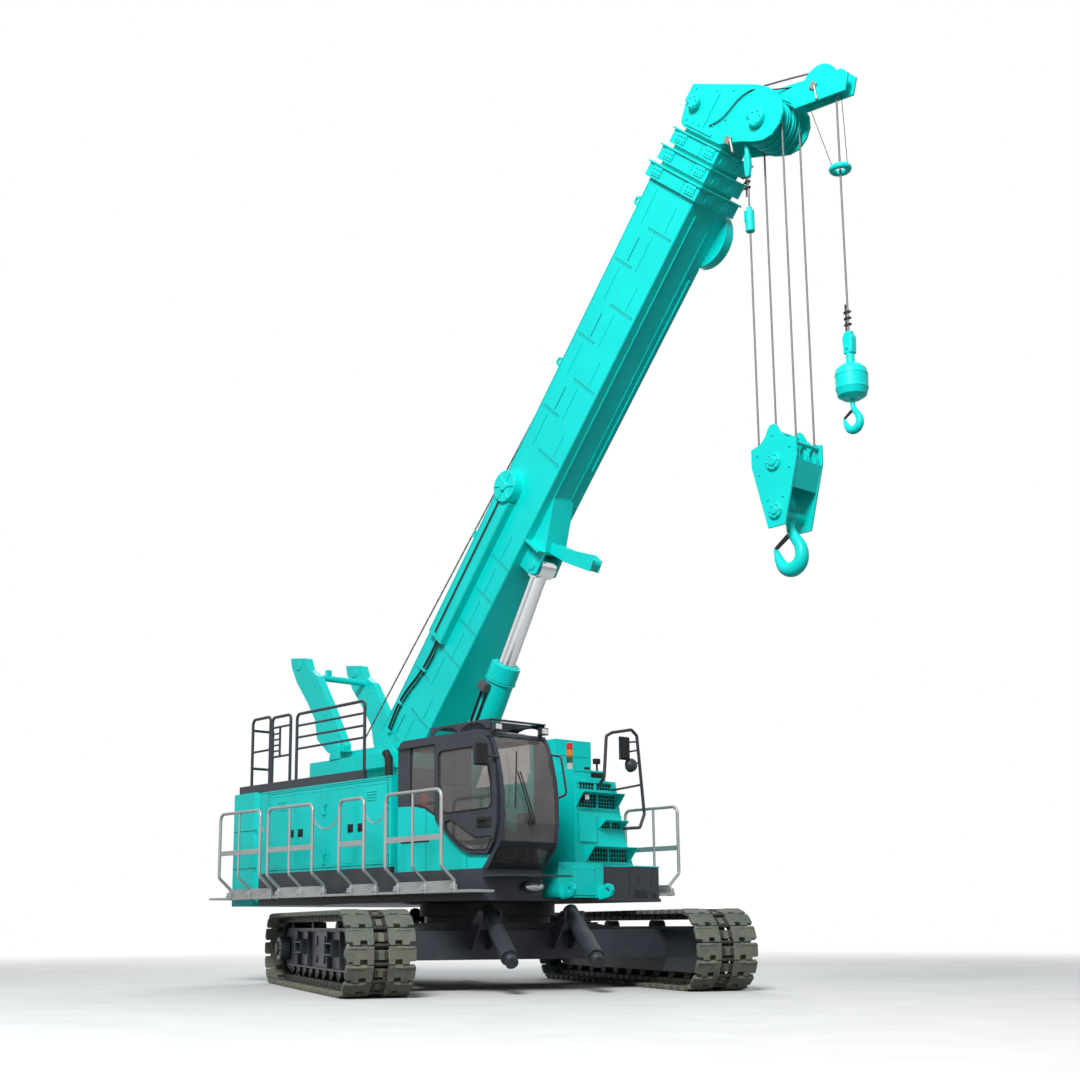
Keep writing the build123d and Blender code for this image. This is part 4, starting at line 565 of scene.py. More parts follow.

# ---- Hoses: hydraulic lines of rubber that run from the boom's foot into the duct on its right side,
# clamped to its plate. With them go the duct's slats, a thin black strip along the duct that is painted
# shade of its channel, and the ringed covers of the hose drum and cable reel.


def centre_line(name, kind, points):
    """Curve in space that a section follows; gives the curve and its one spline."""
    deselect()
    bpy.ops.curve.primitive_nurbs_path_add(location=(0.0, 0.0, 0.0))
    piece = bpy.context.object
    piece.name = name
    piece.data.splines.clear()
    line = piece.data.splines.new(kind)
    line.points.add(len(points) - 1)
    for knot, point in zip(line.points, points):
        knot.co = (*point, 1.0)
    return piece, line


def thickened(piece, radius, sides, caps=True):
    """Gives a curve its round section and makes it a mesh."""
    piece.data.bevel_depth = radius
    piece.data.bevel_resolution = sides
    piece.data.use_fill_caps = caps
    bpy.ops.object.convert(target='MESH')
    return bpy.context.object


def hose(name, points, radius):
    """Smooth tube through soft corners."""
    piece, line = centre_line(name, 'NURBS', points)
    line.order_u = 3
    line.use_endpoint_u = True
    line.resolution_u = 6
    return thickened(piece, radius, 4)


lines = []
for i in range(3):
    y = -0.302 - 0.012 * (i % 2)
    drop = 0.034 * i
    lines.append(hose("line", [(0.40, y, 0.180 - drop), (0.70, y, 0.235 - drop), (1.02, y, 0.215 - drop),
                               (1.34, y, 0.120 - drop), (1.68, y - 0.010, 0.060 - drop),
                               (2.02, y - 0.020, 0.060 - drop)], 0.0095))
fit("boom_hoses", lines, "boom_base", black_rubber, BOOM)
clamps = [block("clamp", (a - 0.018, a + 0.018), (-0.330, -0.280), (b - 0.01, b + 0.095), 0.004)
          for a, b in ((0.42, 0.105), (0.86, 0.155), (1.50, 0.015))]
reel = [bar("rim", (4.293, -0.424, 0.09), (4.293, -0.400, 0.09), 0.206, 48, 0.006),
        bar("hub", (4.293, -0.452, 0.09), (4.293, -0.402, 0.09), 0.065, 32, 0.008)]
for i in range(6):
    turn = Matrix.Translation((4.293, 0.0, 0.09)) @ Matrix.Rotation(i * pi / 3, 4, 'Y')
    spoke = block("spoke", (0.06, 0.190), (-0.436, -0.420), (-0.012, 0.012), 0.003)
    spoke.data.transform(turn)
    reel.append(spoke)
slats = [block("slat", (2.02, 4.13), (-0.386, -0.379), (b, b + 0.014), 0.003) for b in (-0.085, 0.055, 0.205)]
fit("duct_trim", clamps + reel + slats, "boom_base", turquoise, BOOM)
# Thin black strip along the duct's face: painted shade where the duct's side lies in shadow.
painted_shade_strip = [block("slot", (2.06, 4.10), (-0.3815, -0.3795), (0.075, 0.118), 0.001)]
fit("duct_painted_shade", painted_shade_strip, "boom_base", black_rubber, BOOM)
rings = [bar("ring", (8.1, 0.402, -0.40), (8.1, 0.428, -0.40), 0.335, 56, 0.008),
         bar("hub", (8.1, 0.41, -0.40), (8.1, 0.47, -0.40), 0.09, 32, 0.01)]
fit("cable_reel_cover", rings, "boom_base", turquoise, BOOM)

# ---- Ropes above the boom: the hoist rope and the auxiliary rope run from their drums over the head's rear
# idler. They are drawn tight, so they are straight lengths. Steel rope: the lay of its strands slants across
# it, so the light breaks up along its length.
wire_rope, tree, shader = new_material("wire_rope")
place = put(tree, "TexCoord").outputs["Object"]
slant = put(tree, "Mapping", {"Vector": place, "Rotation": (0.6, 0.6, 0.0), "Scale": (1.0, 1.0, 1.0)})
lay = put(tree, "TexWave", {"Vector": slant.outputs[0], "Scale": 26.0, "Distortion": 0.6, "Detail": 1.0},
          wave_type='BANDS', bands_direction='Z')
# The darker and lighter grey bands along the lay are painted shade and highlight of the strands; the bump
# gives them relief.
tone = put(tree, "MapRange", {"Value": lay.outputs["Fac"], "To Min": 0.08, "To Max": 0.30})
grey = put(tree, "CombineColor", {0: tone.outputs[0], 1: tone.outputs[0], 2: tone.outputs[0]})
tree.links.new(grey.outputs[0], shader.inputs["Base Color"])
shader.inputs["Metallic"].default_value = 0.8
shader.inputs["Roughness"].default_value = 0.5
tree.links.new(put(tree, "Bump", {"Height": lay.outputs["Fac"], "Strength": 0.6,
                                  "Distance": 0.003}).outputs[0], shader.inputs["Normal"])

rope = [bar("run", (-0.18, -0.09, 0.80), (9.30, -0.09, 0.322), 0.011, 10),
        bar("run", (-0.95, 0.10, 0.70), (9.28, 0.10, 0.322), 0.011, 10)]
fit("hoist_ropes", rope, "boom_base", wire_rope, BOOM)
tip = BOOM.inverted() @ Vector((5.60, 0.0, 9.985))
rope = [bar("run", (9.46, -0.09, 0.29), (9.72, -0.09, -0.66), 0.011, 10),
        hose("run", [(9.42, 0.10, 0.325), (9.60, 0.06, 0.22), (tip.x, 0.0, tip.z)], 0.011)]
fit("head_ropes", rope, "boom_head", wire_rope, BOOM)

# ---- Drum windings: rope laid turn by turn across both hoist drums, side by side between their flanges. The
# drums themselves are cast steel in the boom's enamel.
ROPE_PITCH = 0.024
FLANGE = 0.060           # that each end of a drum keeps free of rope
finish(turquoise, "main_drum", "auxiliary_drum")
for drum in ("main_drum", "auxiliary_drum"):
    low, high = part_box(drum)
    centre = (low + high) / 2
    y0, y1 = low.y + FLANGE, high.y - FLANGE
    turns = round((y1 - y0) / ROPE_PITCH)
    deselect()
    bpy.ops.mesh.primitive_torus_add(major_radius=(high.z - low.z) / 2 * 0.80, minor_radius=0.0115,
                                     major_segments=48, minor_segments=6)
    turn = bpy.context.object
    face = Matrix.Rotation(radians(90), 4, 'X')
    spots = [Matrix.Translation((centre.x, y0 + (i + 0.5) * ROPE_PITCH, centre.z)) @ face
             for i in range(turns)]
    fit(drum + "_rope", spread(turn, spots), drum, wire_rope, smooth=60)

# ---- Luffing cylinder fittings: gland ring with its bolts, feed pipes strapped along the barrel and the
# holding valve below the gland. The rod is chromed, with the haze that its wiper leaves along it.
chrome, tree, shader = new_material("rod_chrome")
haze = put(tree, "TexNoise", {"Vector": put(tree, "TexCoord").outputs["Object"], "Scale": 5.0, "Detail": 5.0})
tree.links.new(put(tree, "MapRange", {"Value": haze.outputs["Fac"], "To Min": 0.10,
                                      "To Max": 0.30}).outputs[0], shader.inputs["Roughness"])
shader.inputs["Base Color"].default_value = (0.72, 0.73, 0.74, 1.0)
shader.inputs["Metallic"].default_value = 1.0
grease_iron = painted("engine_iron", (0.10, 0.105, 0.11, 1.0), dirt=(0.05, 0.045, 0.04, 1.0), streaks=0.5,
                      dust=0.4, low_dirt=0.2, roughness=0.5, rubbed=(0.25, 0.25, 0.25, 1.0), metallic=0.3)
finish(turquoise, "derrick_barrel")
finish(chrome, "derrick_rod")

foot, eye = Vector((-0.85, 0.0, 2.0)), Vector((1.0992, 0.0, 5.2387))
along = (eye - foot).normalized()
CYLINDER = Matrix.Translation(foot) @ along.to_track_quat('Z', 'Y').to_matrix().to_4x4()
gland = [bar("ring", (0, 0, 2.392), (0, 0, 2.430), 0.172, 48, 0.006)]
gland.append(bolt_ring("bolts", (0, 0, 2.430), (0, 0, 1), 0.150, 16, 0.011, 0.012))
gland.append(bar("band", (0, 0, 2.18), (0, 0, 2.20), 0.207, 48, 0.004))
fit("gland_ring", gland, "derrick_barrel", turquoise, CYLINDER)
front = 1 if (CYLINDER.to_3x3() @ Vector((1, 0, 0))).x > 0 else -1
pipes = []
pipe_x = front * 0.205
for y in (-0.05, 0.05):
    pipes.append(bar("pipe", (pipe_x, y, 0.30), (pipe_x, y, 1.95), 0.016, 12))
    pipes.append(hose("bend", [(pipe_x, y, 1.95), (pipe_x, y, 2.08), (pipe_x * 0.97, y * 0.6, 2.12)], 0.018))
fit("cylinder_pipes", pipes, "derrick_barrel", black_rubber, CYLINDER)
straps = [block("strap", sorted((front * 0.185, front * 0.228)), (-0.085, 0.085), (z - 0.02, z + 0.02), 0.005)
          for z in (0.5, 1.0, 1.5)]
straps.append(block("valve", sorted((front * 0.19, front * 0.29)), (-0.075, 0.075), (2.03, 2.15), 0.010))
fit("holding_valve", straps, "derrick_barrel", grease_iron, CYLINDER)

# ---- Boom head trim: pin collars with their bolts and keeper plates, studs and flats on both cheeks, the
# switches' cable, and the wedge socket that holds the fixed end of the hoist rope. Steel, enamelled with the
# boom.
finish(turquoise, "boom_head", "head_sheaves", "tip_sheave")
finish(wire_rope, "main_falls", "tip_fall")
head = []
for a, b, radius, y in ((9.533, -0.879, 0.105, 0.281), (9.400, 0.187, 0.085, 0.296)):
    for side in (-1, 1):
        head.append(bar("collar", (a, side * (y - 0.02), b), (a, side * (y + 0.035), b), radius, 40, 0.010))
        head.append(bolt_ring("bolts", (a, side * (y + 0.035), b), (0, side, 0), radius * 0.72, 6, 0.010,
                              0.009))
        head.append(block("keeper", (a - 0.03, a + 0.03), sorted((side * (y - 0.03), side * (y + 0.012))),
                          (b + radius, b + radius + 0.07), 0.005))
for side in (-1, 1):
    out = side * 0.251
    for a, b in ((9.20, 0.22), (9.20, 0.10), (9.20, -0.02), (9.26, -0.25), (9.38, -0.40), (9.55, 0.30),
                 (9.62, -0.05), (9.70, -0.30)):
        head.append(bar("stud", (a, out, b), (a, out + side * 0.014, b), 0.013, 6, 0.002))
    head.append(block("flat", (9.14, 9.17), sorted((out, out + side * 0.018)), (-0.30, 0.20), 0.004))
    head.append(block("flat", (9.20, 9.62), sorted((out, out + side * 0.012)), (-0.115, -0.100), 0.003))
fit("head_trim", head, "boom_head", turquoise, BOOM)
cable = hose("switch_cable", [(9.24, -0.262, -0.20), (9.34, -0.270, -0.34), (9.48, -0.268, -0.40),
                              (9.66, -0.266, -0.46), (9.80, -0.266, -0.60), (9.86, -0.150, -0.74),
                              (9.98, -0.080, -0.96)], 0.007)
fit("switch_cable", [cable], "boom_head", black_rubber, BOOM)

LINK = (4.7907, -0.155)  # of the fall that is made fast at the head, forward and sideways
socket = [bar("link", (LINK[0], -0.155, 9.56), (LINK[0], -0.155, 9.27), 0.030, 16, 0.004),
          sheet_cut("socket", [(-0.035, 9.30), (0.035, 9.30), (0.045, 9.16), (0.022, 9.02), (-0.022, 9.02),
                               (-0.040, 9.16)], 'Y', -0.185, -0.125, 0.008)]
socket[1].data.transform(Matrix.Translation((LINK[0], 0, 0)))
fit("dead_end_socket", socket, "main_falls", turquoise)

# ---- Over-hoist switches: bright plates bolted beside the ropes, each with its plunger, and the enamelled
# weight that hangs round the dead end of the hoist rope. The plates are zinc-plated steel.
switches = [block("plate", (9.150, 9.235), (-0.292, -0.262), (-0.655, -0.570), 0.004),
            bar("plunger", (9.21, -0.277, -0.64), (9.10, -0.277, -0.78), 0.015, 14, 0.003),
            block("plate", (10.04, 10.12), (-0.112, -0.088), (-1.30, -1.22), 0.004),
            bar("plunger", (10.08, -0.100, -1.28), (9.97, -0.100, -1.41), 0.014, 14, 0.003)]
fit("switch_plates", switches, "boom_head", zinc_bolt, BOOM)
hung = [bar("weight", (LINK[0], LINK[1], 8.36), (LINK[0], LINK[1], 8.62), 0.052, 28, 0.008),
        bar("neck", (LINK[0], LINK[1], 8.62), (LINK[0], LINK[1], 8.66), 0.030, 20, 0.005),
        block("ear", (LINK[0] - 0.075, LINK[0] - 0.040), (LINK[1] - 0.012, LINK[1] + 0.012), (8.50, 8.64),
              0.004)]
fit("switch_weight", hung, "main_falls", turquoise)

# ---- Hoist hook block: pin ends in bolted bosses, studs and spacer bars that hold the cheeks together, and
# the safety latch of bare steel. The hook itself is one smooth forging.
finish(turquoise, "hook_block", "main_hook")
HOOK_X = 5.0407          # of the block and its hook


def forged_hook(name, x, scale, low):
    """Hook swept along its bowl from the shank to the point, thickest at the bottom."""
    # Forward, up, and half thickness.
    bowl = [(0.0, 0.640, 0.046), (0.0, 0.560, 0.048), (0.035, 0.470, 0.055), (0.120, 0.370, 0.066),
            (0.148, 0.260, 0.074), (0.118, 0.150, 0.082), (0.010, 0.092, 0.086), (-0.105, 0.135, 0.072),
            (-0.165, 0.240, 0.052), (-0.192, 0.330, 0.034), (-0.212, 0.385, 0.016)]
    piece, line = centre_line(name, 'NURBS', [(x + dx * scale, 0.0, low + dz * scale)
                                              for dx, dz, thick in bowl])
    for knot, (dx, dz, thick) in zip(line.points, bowl):
        knot.radius = thick * scale
    line.order_u = 4
    line.use_endpoint_u = True
    line.resolution_u = 8
    return thickened(piece, 1.0, 7)


hook = [forged_hook("bowl", HOOK_X, 1.0, 4.345)]
hook.append(bar("neck", (HOOK_X, 0, 4.960), (HOOK_X, 0, 4.978), 0.062, 32, 0.006))
hook.append(bar("shank", (HOOK_X, 0, 4.930), (HOOK_X, 0, 5.230), 0.034, 24))
hook.append(bar("nut", (HOOK_X, 0, 5.105), (HOOK_X, 0, 5.280), 0.064, 32, 0.012))
hook = fit("forged_main_hook", hook, "main_hook", turquoise, smooth=50)
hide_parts("main_hook")
latch = sheet_cut("latch", [(-0.208, 4.715), (-0.190, 4.742), (0.000, 4.872), (0.024, 4.852), (-0.010, 4.815),
                            (-0.190, 4.705)], 'Y', -0.022, 0.022, 0.004)
latch.data.transform(Matrix.Translation((HOOK_X, 0, 0)))
pivot = bar("pivot", (HOOK_X + 0.005, -0.056, 4.862), (HOOK_X + 0.005, 0.056, 4.862), 0.011, 12, 0.002)
fit("main_hook_latch", [latch, pivot], "main_hook", greasy_steel)

trim = []
for side in (-1, 1):
    out = side * 0.230
    for x, z, radius in ((0.0, 5.600, 0.095), (0.0, 5.055, 0.085)):
        trim.append(bar("boss", (HOOK_X + x, out - side * 0.01, z), (HOOK_X + x, out + side * 0.030, z),
                        radius, 36, 0.008))
        trim.append(bar("pin", (HOOK_X + x, out, z), (HOOK_X + x, out + side * 0.046, z), radius * 0.55, 28,
                        0.008))
        trim.append(bolt_ring("bolts", (HOOK_X + x, out + side * 0.030, z), (0, side, 0), radius * 0.8, 6,
                              0.009, 0.008))
    for x, z in ((-0.22, 5.72), (0.22, 5.72), (-0.20, 5.50), (0.20, 5.50), (-0.10, 5.20), (0.10, 5.20),
                 (0.0, 5.90)):
        trim.append(bar("stud", (HOOK_X + x, out, z), (HOOK_X + x, out + side * 0.012, z), 0.014, 6, 0.002))
fit("block_pins", trim, "hook_block", turquoise)
spacers = [bar("spacer", (HOOK_X + x, -0.206, z), (HOOK_X + x, 0.206, z), 0.022, 20)
           for x, z in ((-0.255, 5.765), (0.255, 5.765), (0.0, 5.945))]
fit("block_spacers", spacers, "hook_block", turquoise)

# ---- Auxiliary hook: forged hook under a cast overhaul weight, its latch, the wedge socket above and the
# clips that hold the tails of both ropes. The over-hoist switch's ring hangs above it on two cords.
finish(turquoise, "overhaul_ball", "ball_hook")
TIP_X = 5.912
small = [forged_hook("bowl", TIP_X, 0.56, 5.712),
         bar("shank", (TIP_X, 0, 6.040), (TIP_X, 0, 6.150), 0.0235, 20)]
small = fit("forged_ball_hook", small, "ball_hook", turquoise, smooth=50)
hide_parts("ball_hook")
latch = sheet_cut("latch", [(-0.115, 5.920), (-0.105, 5.934), (0.000, 6.008), (0.014, 5.996), (-0.005, 5.975),
                            (-0.105, 5.914)], 'Y', -0.014, 0.014, 0.003)
latch.data.transform(Matrix.Translation((TIP_X, 0, 0)))
fit("latch", [latch], "ball_hook", greasy_steel)
weight = [bar("band", (TIP_X, 0, 6.205), (TIP_X, 0, 6.225), 0.1735, 48, 0.004),
          bar("band", (TIP_X, 0, 6.350), (TIP_X, 0, 6.370), 0.1745, 48, 0.004),
          sheet_cut("wedge", [(-0.052, 6.60), (0.052, 6.60), (0.060, 6.78), (0.030, 6.84), (-0.030, 6.84),
                              (-0.060, 6.78)], 'Y', -0.048, 0.048, 0.008)]
weight[2].data.transform(Matrix.Translation((TIP_X, 0, 0)))
weight.append(bar("bolt", (TIP_X, -0.065, 6.66), (TIP_X, 0.065, 6.66), 0.014, 12, 0.002))
fit("overhaul_trim", weight, "overhaul_ball", turquoise)
clips = []
for z in (6.93, 7.00, 7.07):
    clips.append(block("saddle", (TIP_X - 0.045, TIP_X + 0.03), (-0.018, 0.018), (z - 0.012, z + 0.012),
                       0.004))
    clips.append(bar("leg", (TIP_X - 0.060, 0.010, z), (TIP_X + 0.035, 0.010, z), 0.006, 8))
tail = bar("tail", (TIP_X - 0.030, 0, 6.84), (TIP_X - 0.026, 0, 7.16), 0.010, 10)
fit("rope_clips", clips + [tail], "overhaul_ball", greasy_steel)
clips = []
for z in (8.90, 8.97, 9.04):
    clips.append(block("saddle", (LINK[0] - 0.055, LINK[0] + 0.02), (LINK[1] - 0.018, LINK[1] + 0.018),
                       (z - 0.012, z + 0.012), 0.004))
    clips.append(bar("leg", (LINK[0] - 0.085, LINK[1], z), (LINK[0] + 0.03, LINK[1], z), 0.006, 8))
clips.append(bar("tail", (LINK[0] - 0.032, LINK[1], 8.80), (LINK[0] - 0.028, LINK[1], 9.10), 0.010, 10))
fit("main_rope_clips", clips, "main_falls", greasy_steel)
deselect()
bpy.ops.mesh.primitive_torus_add(major_radius=0.088, minor_radius=0.034, major_segments=40, minor_segments=12,
                                 location=(TIP_X, 0.0, 8.70))
ring = bpy.context.object
bpy.ops.object.transform_apply(location=True, rotation=True, scale=True)
eyelets = [bar("eyelet", (TIP_X + x, 0, 8.70), (TIP_X + x, 0, 8.765), 0.010, 10) for x in (-0.095, 0.095)]
fit("switch_ring", [ring] + eyelets, "tip_fall", turquoise)
cords = [bar("cord", (TIP_X - 0.095, 0, 8.76), (TIP_X - 0.30, -0.05, 9.50), 0.004, 6),
         bar("cord", (TIP_X + 0.095, 0, 8.76), (TIP_X + 0.03, 0.05, 9.60), 0.004, 6)]
fit("switch_cords", cords, "tip_fall", greasy_steel)

# ---- Machinery house fittings: pressed folds round the doors, paddle latches in their dishes, louvres, the
# gaps between panels, the roof hatches with their handles and the exhaust. Pressed sheet, enamelled.
finish(turquoise, "engine_house", "engine_door_1", "engine_door_2", "engine_door_3", "engine_door_4")
finish(slate, "roof_rails")
finish(grease_iron, "engine_block")
RIGHT_FACE = -1.500      # of the house's doors and of the cab's door
DOOR_REAR, DOOR_PITCH, DOOR_WIDTH = -2.860, 0.690, 0.668
for i in range(4):
    number, body = "_%d" % (i + 1), "engine_door_%d" % (i + 1)
    rear = DOOR_REAR + DOOR_PITCH * i
    front = rear + DOOR_WIDTH
    proud = (RIGHT_FACE - 0.004, RIGHT_FACE)
    folds = [block("fold", (rear + 0.030, rear + 0.036), proud, (1.54, 2.50), 0.001),
             block("fold", (front - 0.036, front - 0.030), proud, (1.54, 2.50), 0.001),
             block("fold", (rear + 0.030, front - 0.030), proud, (2.494, 2.500), 0.001),
             block("fold", (rear + 0.030, front - 0.030), proud, (1.540, 1.546), 0.001)]
    fit("door_folds" + number, folds, body, turquoise)
    x = front - 0.10 if i % 2 == 0 else rear + 0.10
    latch = [block("dish", (x - 0.062, x + 0.062), (RIGHT_FACE - 0.006, RIGHT_FACE), (1.925, 2.030), 0.003),
             block("paddle", (x - 0.045, x + 0.045), (RIGHT_FACE - 0.014, RIGHT_FACE - 0.004), (1.955, 2.012),
                   0.004), bar("lock", (x - 0.03, RIGHT_FACE - 0.018, 1.942),
                               (x - 0.03, RIGHT_FACE - 0.004, 1.942), 0.009, 16, 0.002)]
    fit("door_latch" + number, latch, body, black_rubber)
    if i in (0, 3):
        middle, proud = (rear + front) / 2, (RIGHT_FACE - 0.010, RIGHT_FACE)
        louvres = [block("louvre", (middle - 0.10, middle + 0.10), proud, (z, z + 0.010), 0.003)
                   for z in (2.30, 2.335, 2.370, 2.405)]
        fit("door_louvres" + number, louvres, body, turquoise)
gap = (RIGHT_FACE - 0.0015, RIGHT_FACE + 0.0010)
seams = [block("seam", (x - 0.0035, x + 0.0035), gap, (1.47, 2.585), 0.0005)
         for x in (-2.879, -0.123, -0.095)]
seams += [block("seam", (-3.07, -0.02), gap, z, 0.0005) for z in ((2.560, 2.566), (1.490, 1.494))]
fit("house_seams", seams, "upper", black_rubber)
hatches = []
ROOF = 2.585             # height of the house's roof
for x0, x1, y0, y1 in ((-2.7, -1.9, -1.15, -0.50), (-1.7, -0.9, -1.15, -0.50), (-2.2, -1.2, 0.55, 1.30)):
    hatches.append(block("hatch", (x0, x1), (y0, y1), (ROOF, ROOF + 0.022), 0.008))
    hatches.append(block("rim", (x0 + 0.08, x1 - 0.08), (y0 + 0.08, y1 - 0.08), (ROOF + 0.020, ROOF + 0.028),
                         0.004))
    grip = [(x0 + along, y0 + 0.05, ROOF + up) for along,
            up in ((0.25, 0.02), (0.25, 0.065), (0.42, 0.065), (0.42, 0.02))]
    hatches.append(hose("handle", grip, 0.008))
fit("roof_hatches", hatches, "upper", turquoise)
stack = [bar("pipe", (-1.30, -0.62, 2.60), (-1.30, -0.62, 2.98), 0.055, 28, 0.004),
         bar("elbow", (-1.30, -0.62, 2.96), (-1.38, -0.62, 3.06), 0.055, 28, 0.004),
         bar("flange", (-1.30, -0.62, 2.588), (-1.30, -0.62, 2.612), 0.095, 28, 0.004)]
fit("exhaust_stack", stack, "upper", greasy_steel)

# ---- Walkway gear: chains of oval links that close the gaps between the rail frames, hung from post to
# post, and the bolted clamps that hold the posts. Galvanised steel.
galvanised = painted("galvanised_steel", (0.42, 0.44, 0.44, 1.0), dirt=(0.22, 0.20, 0.17, 1.0), streaks=0.3,
                     dust=0.5, low_dirt=0.3, roughness=0.42, rubbed=(0.62, 0.63, 0.62, 1.0), metallic=0.55,
                     bump=0.12)
finish(galvanised, "walkways")
finish(slate, "deck")


def chain(name, start, end, sag):
    """Oval links, each turned a quarter from the last, that sag between two eyes."""
    count = max(6, round((Vector(end) - Vector(start)).length * 1.06 / 0.042))
    deselect()
    bpy.ops.mesh.primitive_torus_add(major_radius=0.017, minor_radius=0.0042, major_segments=10,
                                     minor_segments=5)
    link = bpy.context.object
    link.data.transform(Matrix.Diagonal((1.45, 0.85, 1.0, 1.0)))
    places = []
    for i in range(count):
        t = (i + 0.5) / count
        here = Vector(start).lerp(Vector(end), t) + Vector((0, 0, -4 * sag * t * (1 - t)))
        slope = (Vector(end) - Vector(start)) + Vector((0, 0, -4 * sag * (1 - 2 * t)))
        turn = slope.to_track_quat('X', 'Z').to_matrix().to_4x4()
        places.append(Matrix.Translation(here) @ turn @ Matrix.Rotation(pi / 2 * (i % 2), 4, 'X'))
    fit(name, spread(link, places), "upper", galvanised, smooth=60)


for side, hand in reversed(SIDES):
    for i, (x0, x1, z) in enumerate(((-2.26, -2.07, 2.10), (-1.02, -0.43, 2.10), (0.09, 0.53, 2.10))):
        chain("chain_%s_%d" % (hand, i + 1), (x0, side * 2.0, z), (x1, side * 2.0, z),
              0.10 + 0.10 * (x1 - x0))
    clamps = []
    for rear, front, middle in ((-3.30, -2.26, -2.80), (-2.07, -1.02, -1.55), (-0.43, 0.09, None),
                                (0.53, 1.58 if side < 0 else 1.48, 1.05)):
        for x in (rear, front, middle):
            if x is None:
                continue
            clamps.append(block("clamp", (x - 0.045, x + 0.045), sorted((side * 1.800, side * 1.852)),
                                (1.115, 1.215), 0.008))
            clamps.append(bar("bolt", (x - 0.028, side * 1.850, 1.165), (x - 0.028, side * 1.866, 1.165),
                              0.012, 6, 0.002))
            clamps.append(bar("bolt", (x + 0.028, side * 1.850, 1.165), (x + 0.028, side * 1.866, 1.165),
                              0.012, 6, 0.002))
    fit("post_clamps_" + hand, clamps, "upper", galvanised)

# ---- Cab outside: rubber seals pressed on round the side panes, the door's handle, the fender's seams, the
# wiper, the lamps' lenses and the mirrors. The glazing is grey-tinted safety glass under a thin film of
# dust, which veils it a little.
tinted_glass, tree, shader = new_material("tinted_glass")
film = put(tree, "TexNoise", {"Vector": put(tree, "TexCoord").outputs["Object"], "Scale": 3.0, "Detail": 5.0})
film = put(tree, "MapRange", {"Value": film.outputs["Fac"], "From Min": 0.35, "From Max": 0.65,
                              "To Min": 0.92, "To Max": 1.06})
tint = put(tree, "VectorMath", {0: (0.58, 0.55, 0.535), "Scale": film.outputs[0]}, operation='SCALE')
tree.links.new(tint.outputs[0], shader.inputs["Base Color"])
shader.inputs["Roughness"].default_value = 0.0
shader.inputs["Transmission Weight"].default_value = 0.90
shader.inputs["IOR"].default_value = 1.36
finish(tinted_glass, "cab_glass", "cab_door_glass")
finish(slate, "cab_shell", "cab_door", "cab_step", "roof_guard", "work_lamps")
finish(turquoise, "cab_fender")


def seal(name, outline, y, radius):
    """Rubber section that follows a pane's edge, closed on itself."""
    piece, line = centre_line(name, 'POLY', [(x, y, z) for x, z in outline])
    line.use_cyclic_u = True
    return thickened(piece, radius, 2, caps=False)


def rounded(outline, cut=0.035, steps=4):
    """The outline with its corners rounded."""
    soft = []
    for i, corner in enumerate(outline):
        corner = Vector(corner)
        before, after = Vector(outline[i - 1]), Vector(outline[(i + 1) % len(outline)])
        start = corner + (before - corner).normalized() * min(cut, (before - corner).length / 2.2)
        end = corner + (after - corner).normalized() * min(cut, (after - corner).length / 2.2)
        for k in range(steps + 1):
            t = k / steps
            soft.append(tuple(start * (1 - t) ** 2 + corner * 2 * t * (1 - t) + end * t ** 2))
    return soft


# Outlines of the panes, as distance forward and height.
DOOR_PANE = [(0.890, 2.740), (0.930, 2.790), (1.690, 2.790), (1.750, 2.730), (1.840, 2.380), (1.862, 2.130),
             (1.820, 2.065), (1.030, 2.050), (0.905, 2.100)]
LOW_PANE = [(1.015, 1.875), (1.165, 1.752), (1.285, 1.675), (1.440, 1.612), (1.760, 1.598), (1.845, 1.700),
            (1.850, 1.745), (1.560, 1.745), (1.140, 1.965), (1.020, 1.955)]
REAR_PANE = [(0.285, 2.200), (0.285, 2.890), (0.765, 2.890), (0.765, 2.050), (0.570, 2.150), (0.350, 2.195)]
seals = [seal("pane", rounded(DOOR_PANE), RIGHT_FACE, 0.009),
         seal("pane", rounded(LOW_PANE), RIGHT_FACE, 0.008)]
fit("door_seals", seals, "cab_door", black_rubber, smooth=60)
seals = [seal("pane", rounded(REAR_PANE), -1.4535, 0.007)]
fit("quarter_seal", seals, "upper", black_rubber, smooth=60)
handle = [block("dish", (1.600, 1.850), (-1.506, -1.499), (1.845, 1.965), 0.006),
          block("grip", (1.640, 1.760), (-1.532, -1.516), (1.925, 1.948), 0.006),
          block("foot", (1.640, 1.662), (-1.530, -1.500), (1.925, 1.948), 0.003),
          block("foot", (1.738, 1.760), (-1.530, -1.500), (1.925, 1.948), 0.003)]
fit("door_handle", handle, "cab_door", black_rubber)
# The long level strip is a thin black band drawn along the fender; the two upright strips are the fender's
# seams.
fender_seams = [block("channel", (0.10, 0.66), (-1.4595, -1.4565), (1.735, 1.765), 0.0004),
                block("seam", (1.362, 1.366), (-1.4595, -1.4565), (1.395, 1.560), 0.0004),
                block("seam", (0.60, 0.604), (-1.4595, -1.4565), (1.395, 2.125), 0.0004)]
fit("fender_seams", fender_seams, "upper", black_rubber)

wiper = []
for y in (-1.02, -1.06):
    wiper.append(bar("arm", (2.012, y + 0.04, 1.930), (2.004, y - 0.17, 2.480), 0.008, 10))
blade = block("blade", (1.995, 2.012), (-1.262, -1.248), (2.05, 2.72), 0.004)
for middle, lean, axis in (((0, -1.255, 2.40), -8, 'X'), ((2.0, 0, 2.40), -7, 'Y')):
    there, back = Matrix.Translation(middle), Matrix.Translation(-Vector(middle))
    blade.data.transform(there @ Matrix.Rotation(radians(lean), 4, axis) @ back)
wiper.append(blade)
wiper.append(block("motor", (1.985, 2.020), (-1.075, -0.975), (1.885, 1.945), 0.010))
fit("wiper", wiper, "upper", black_rubber)

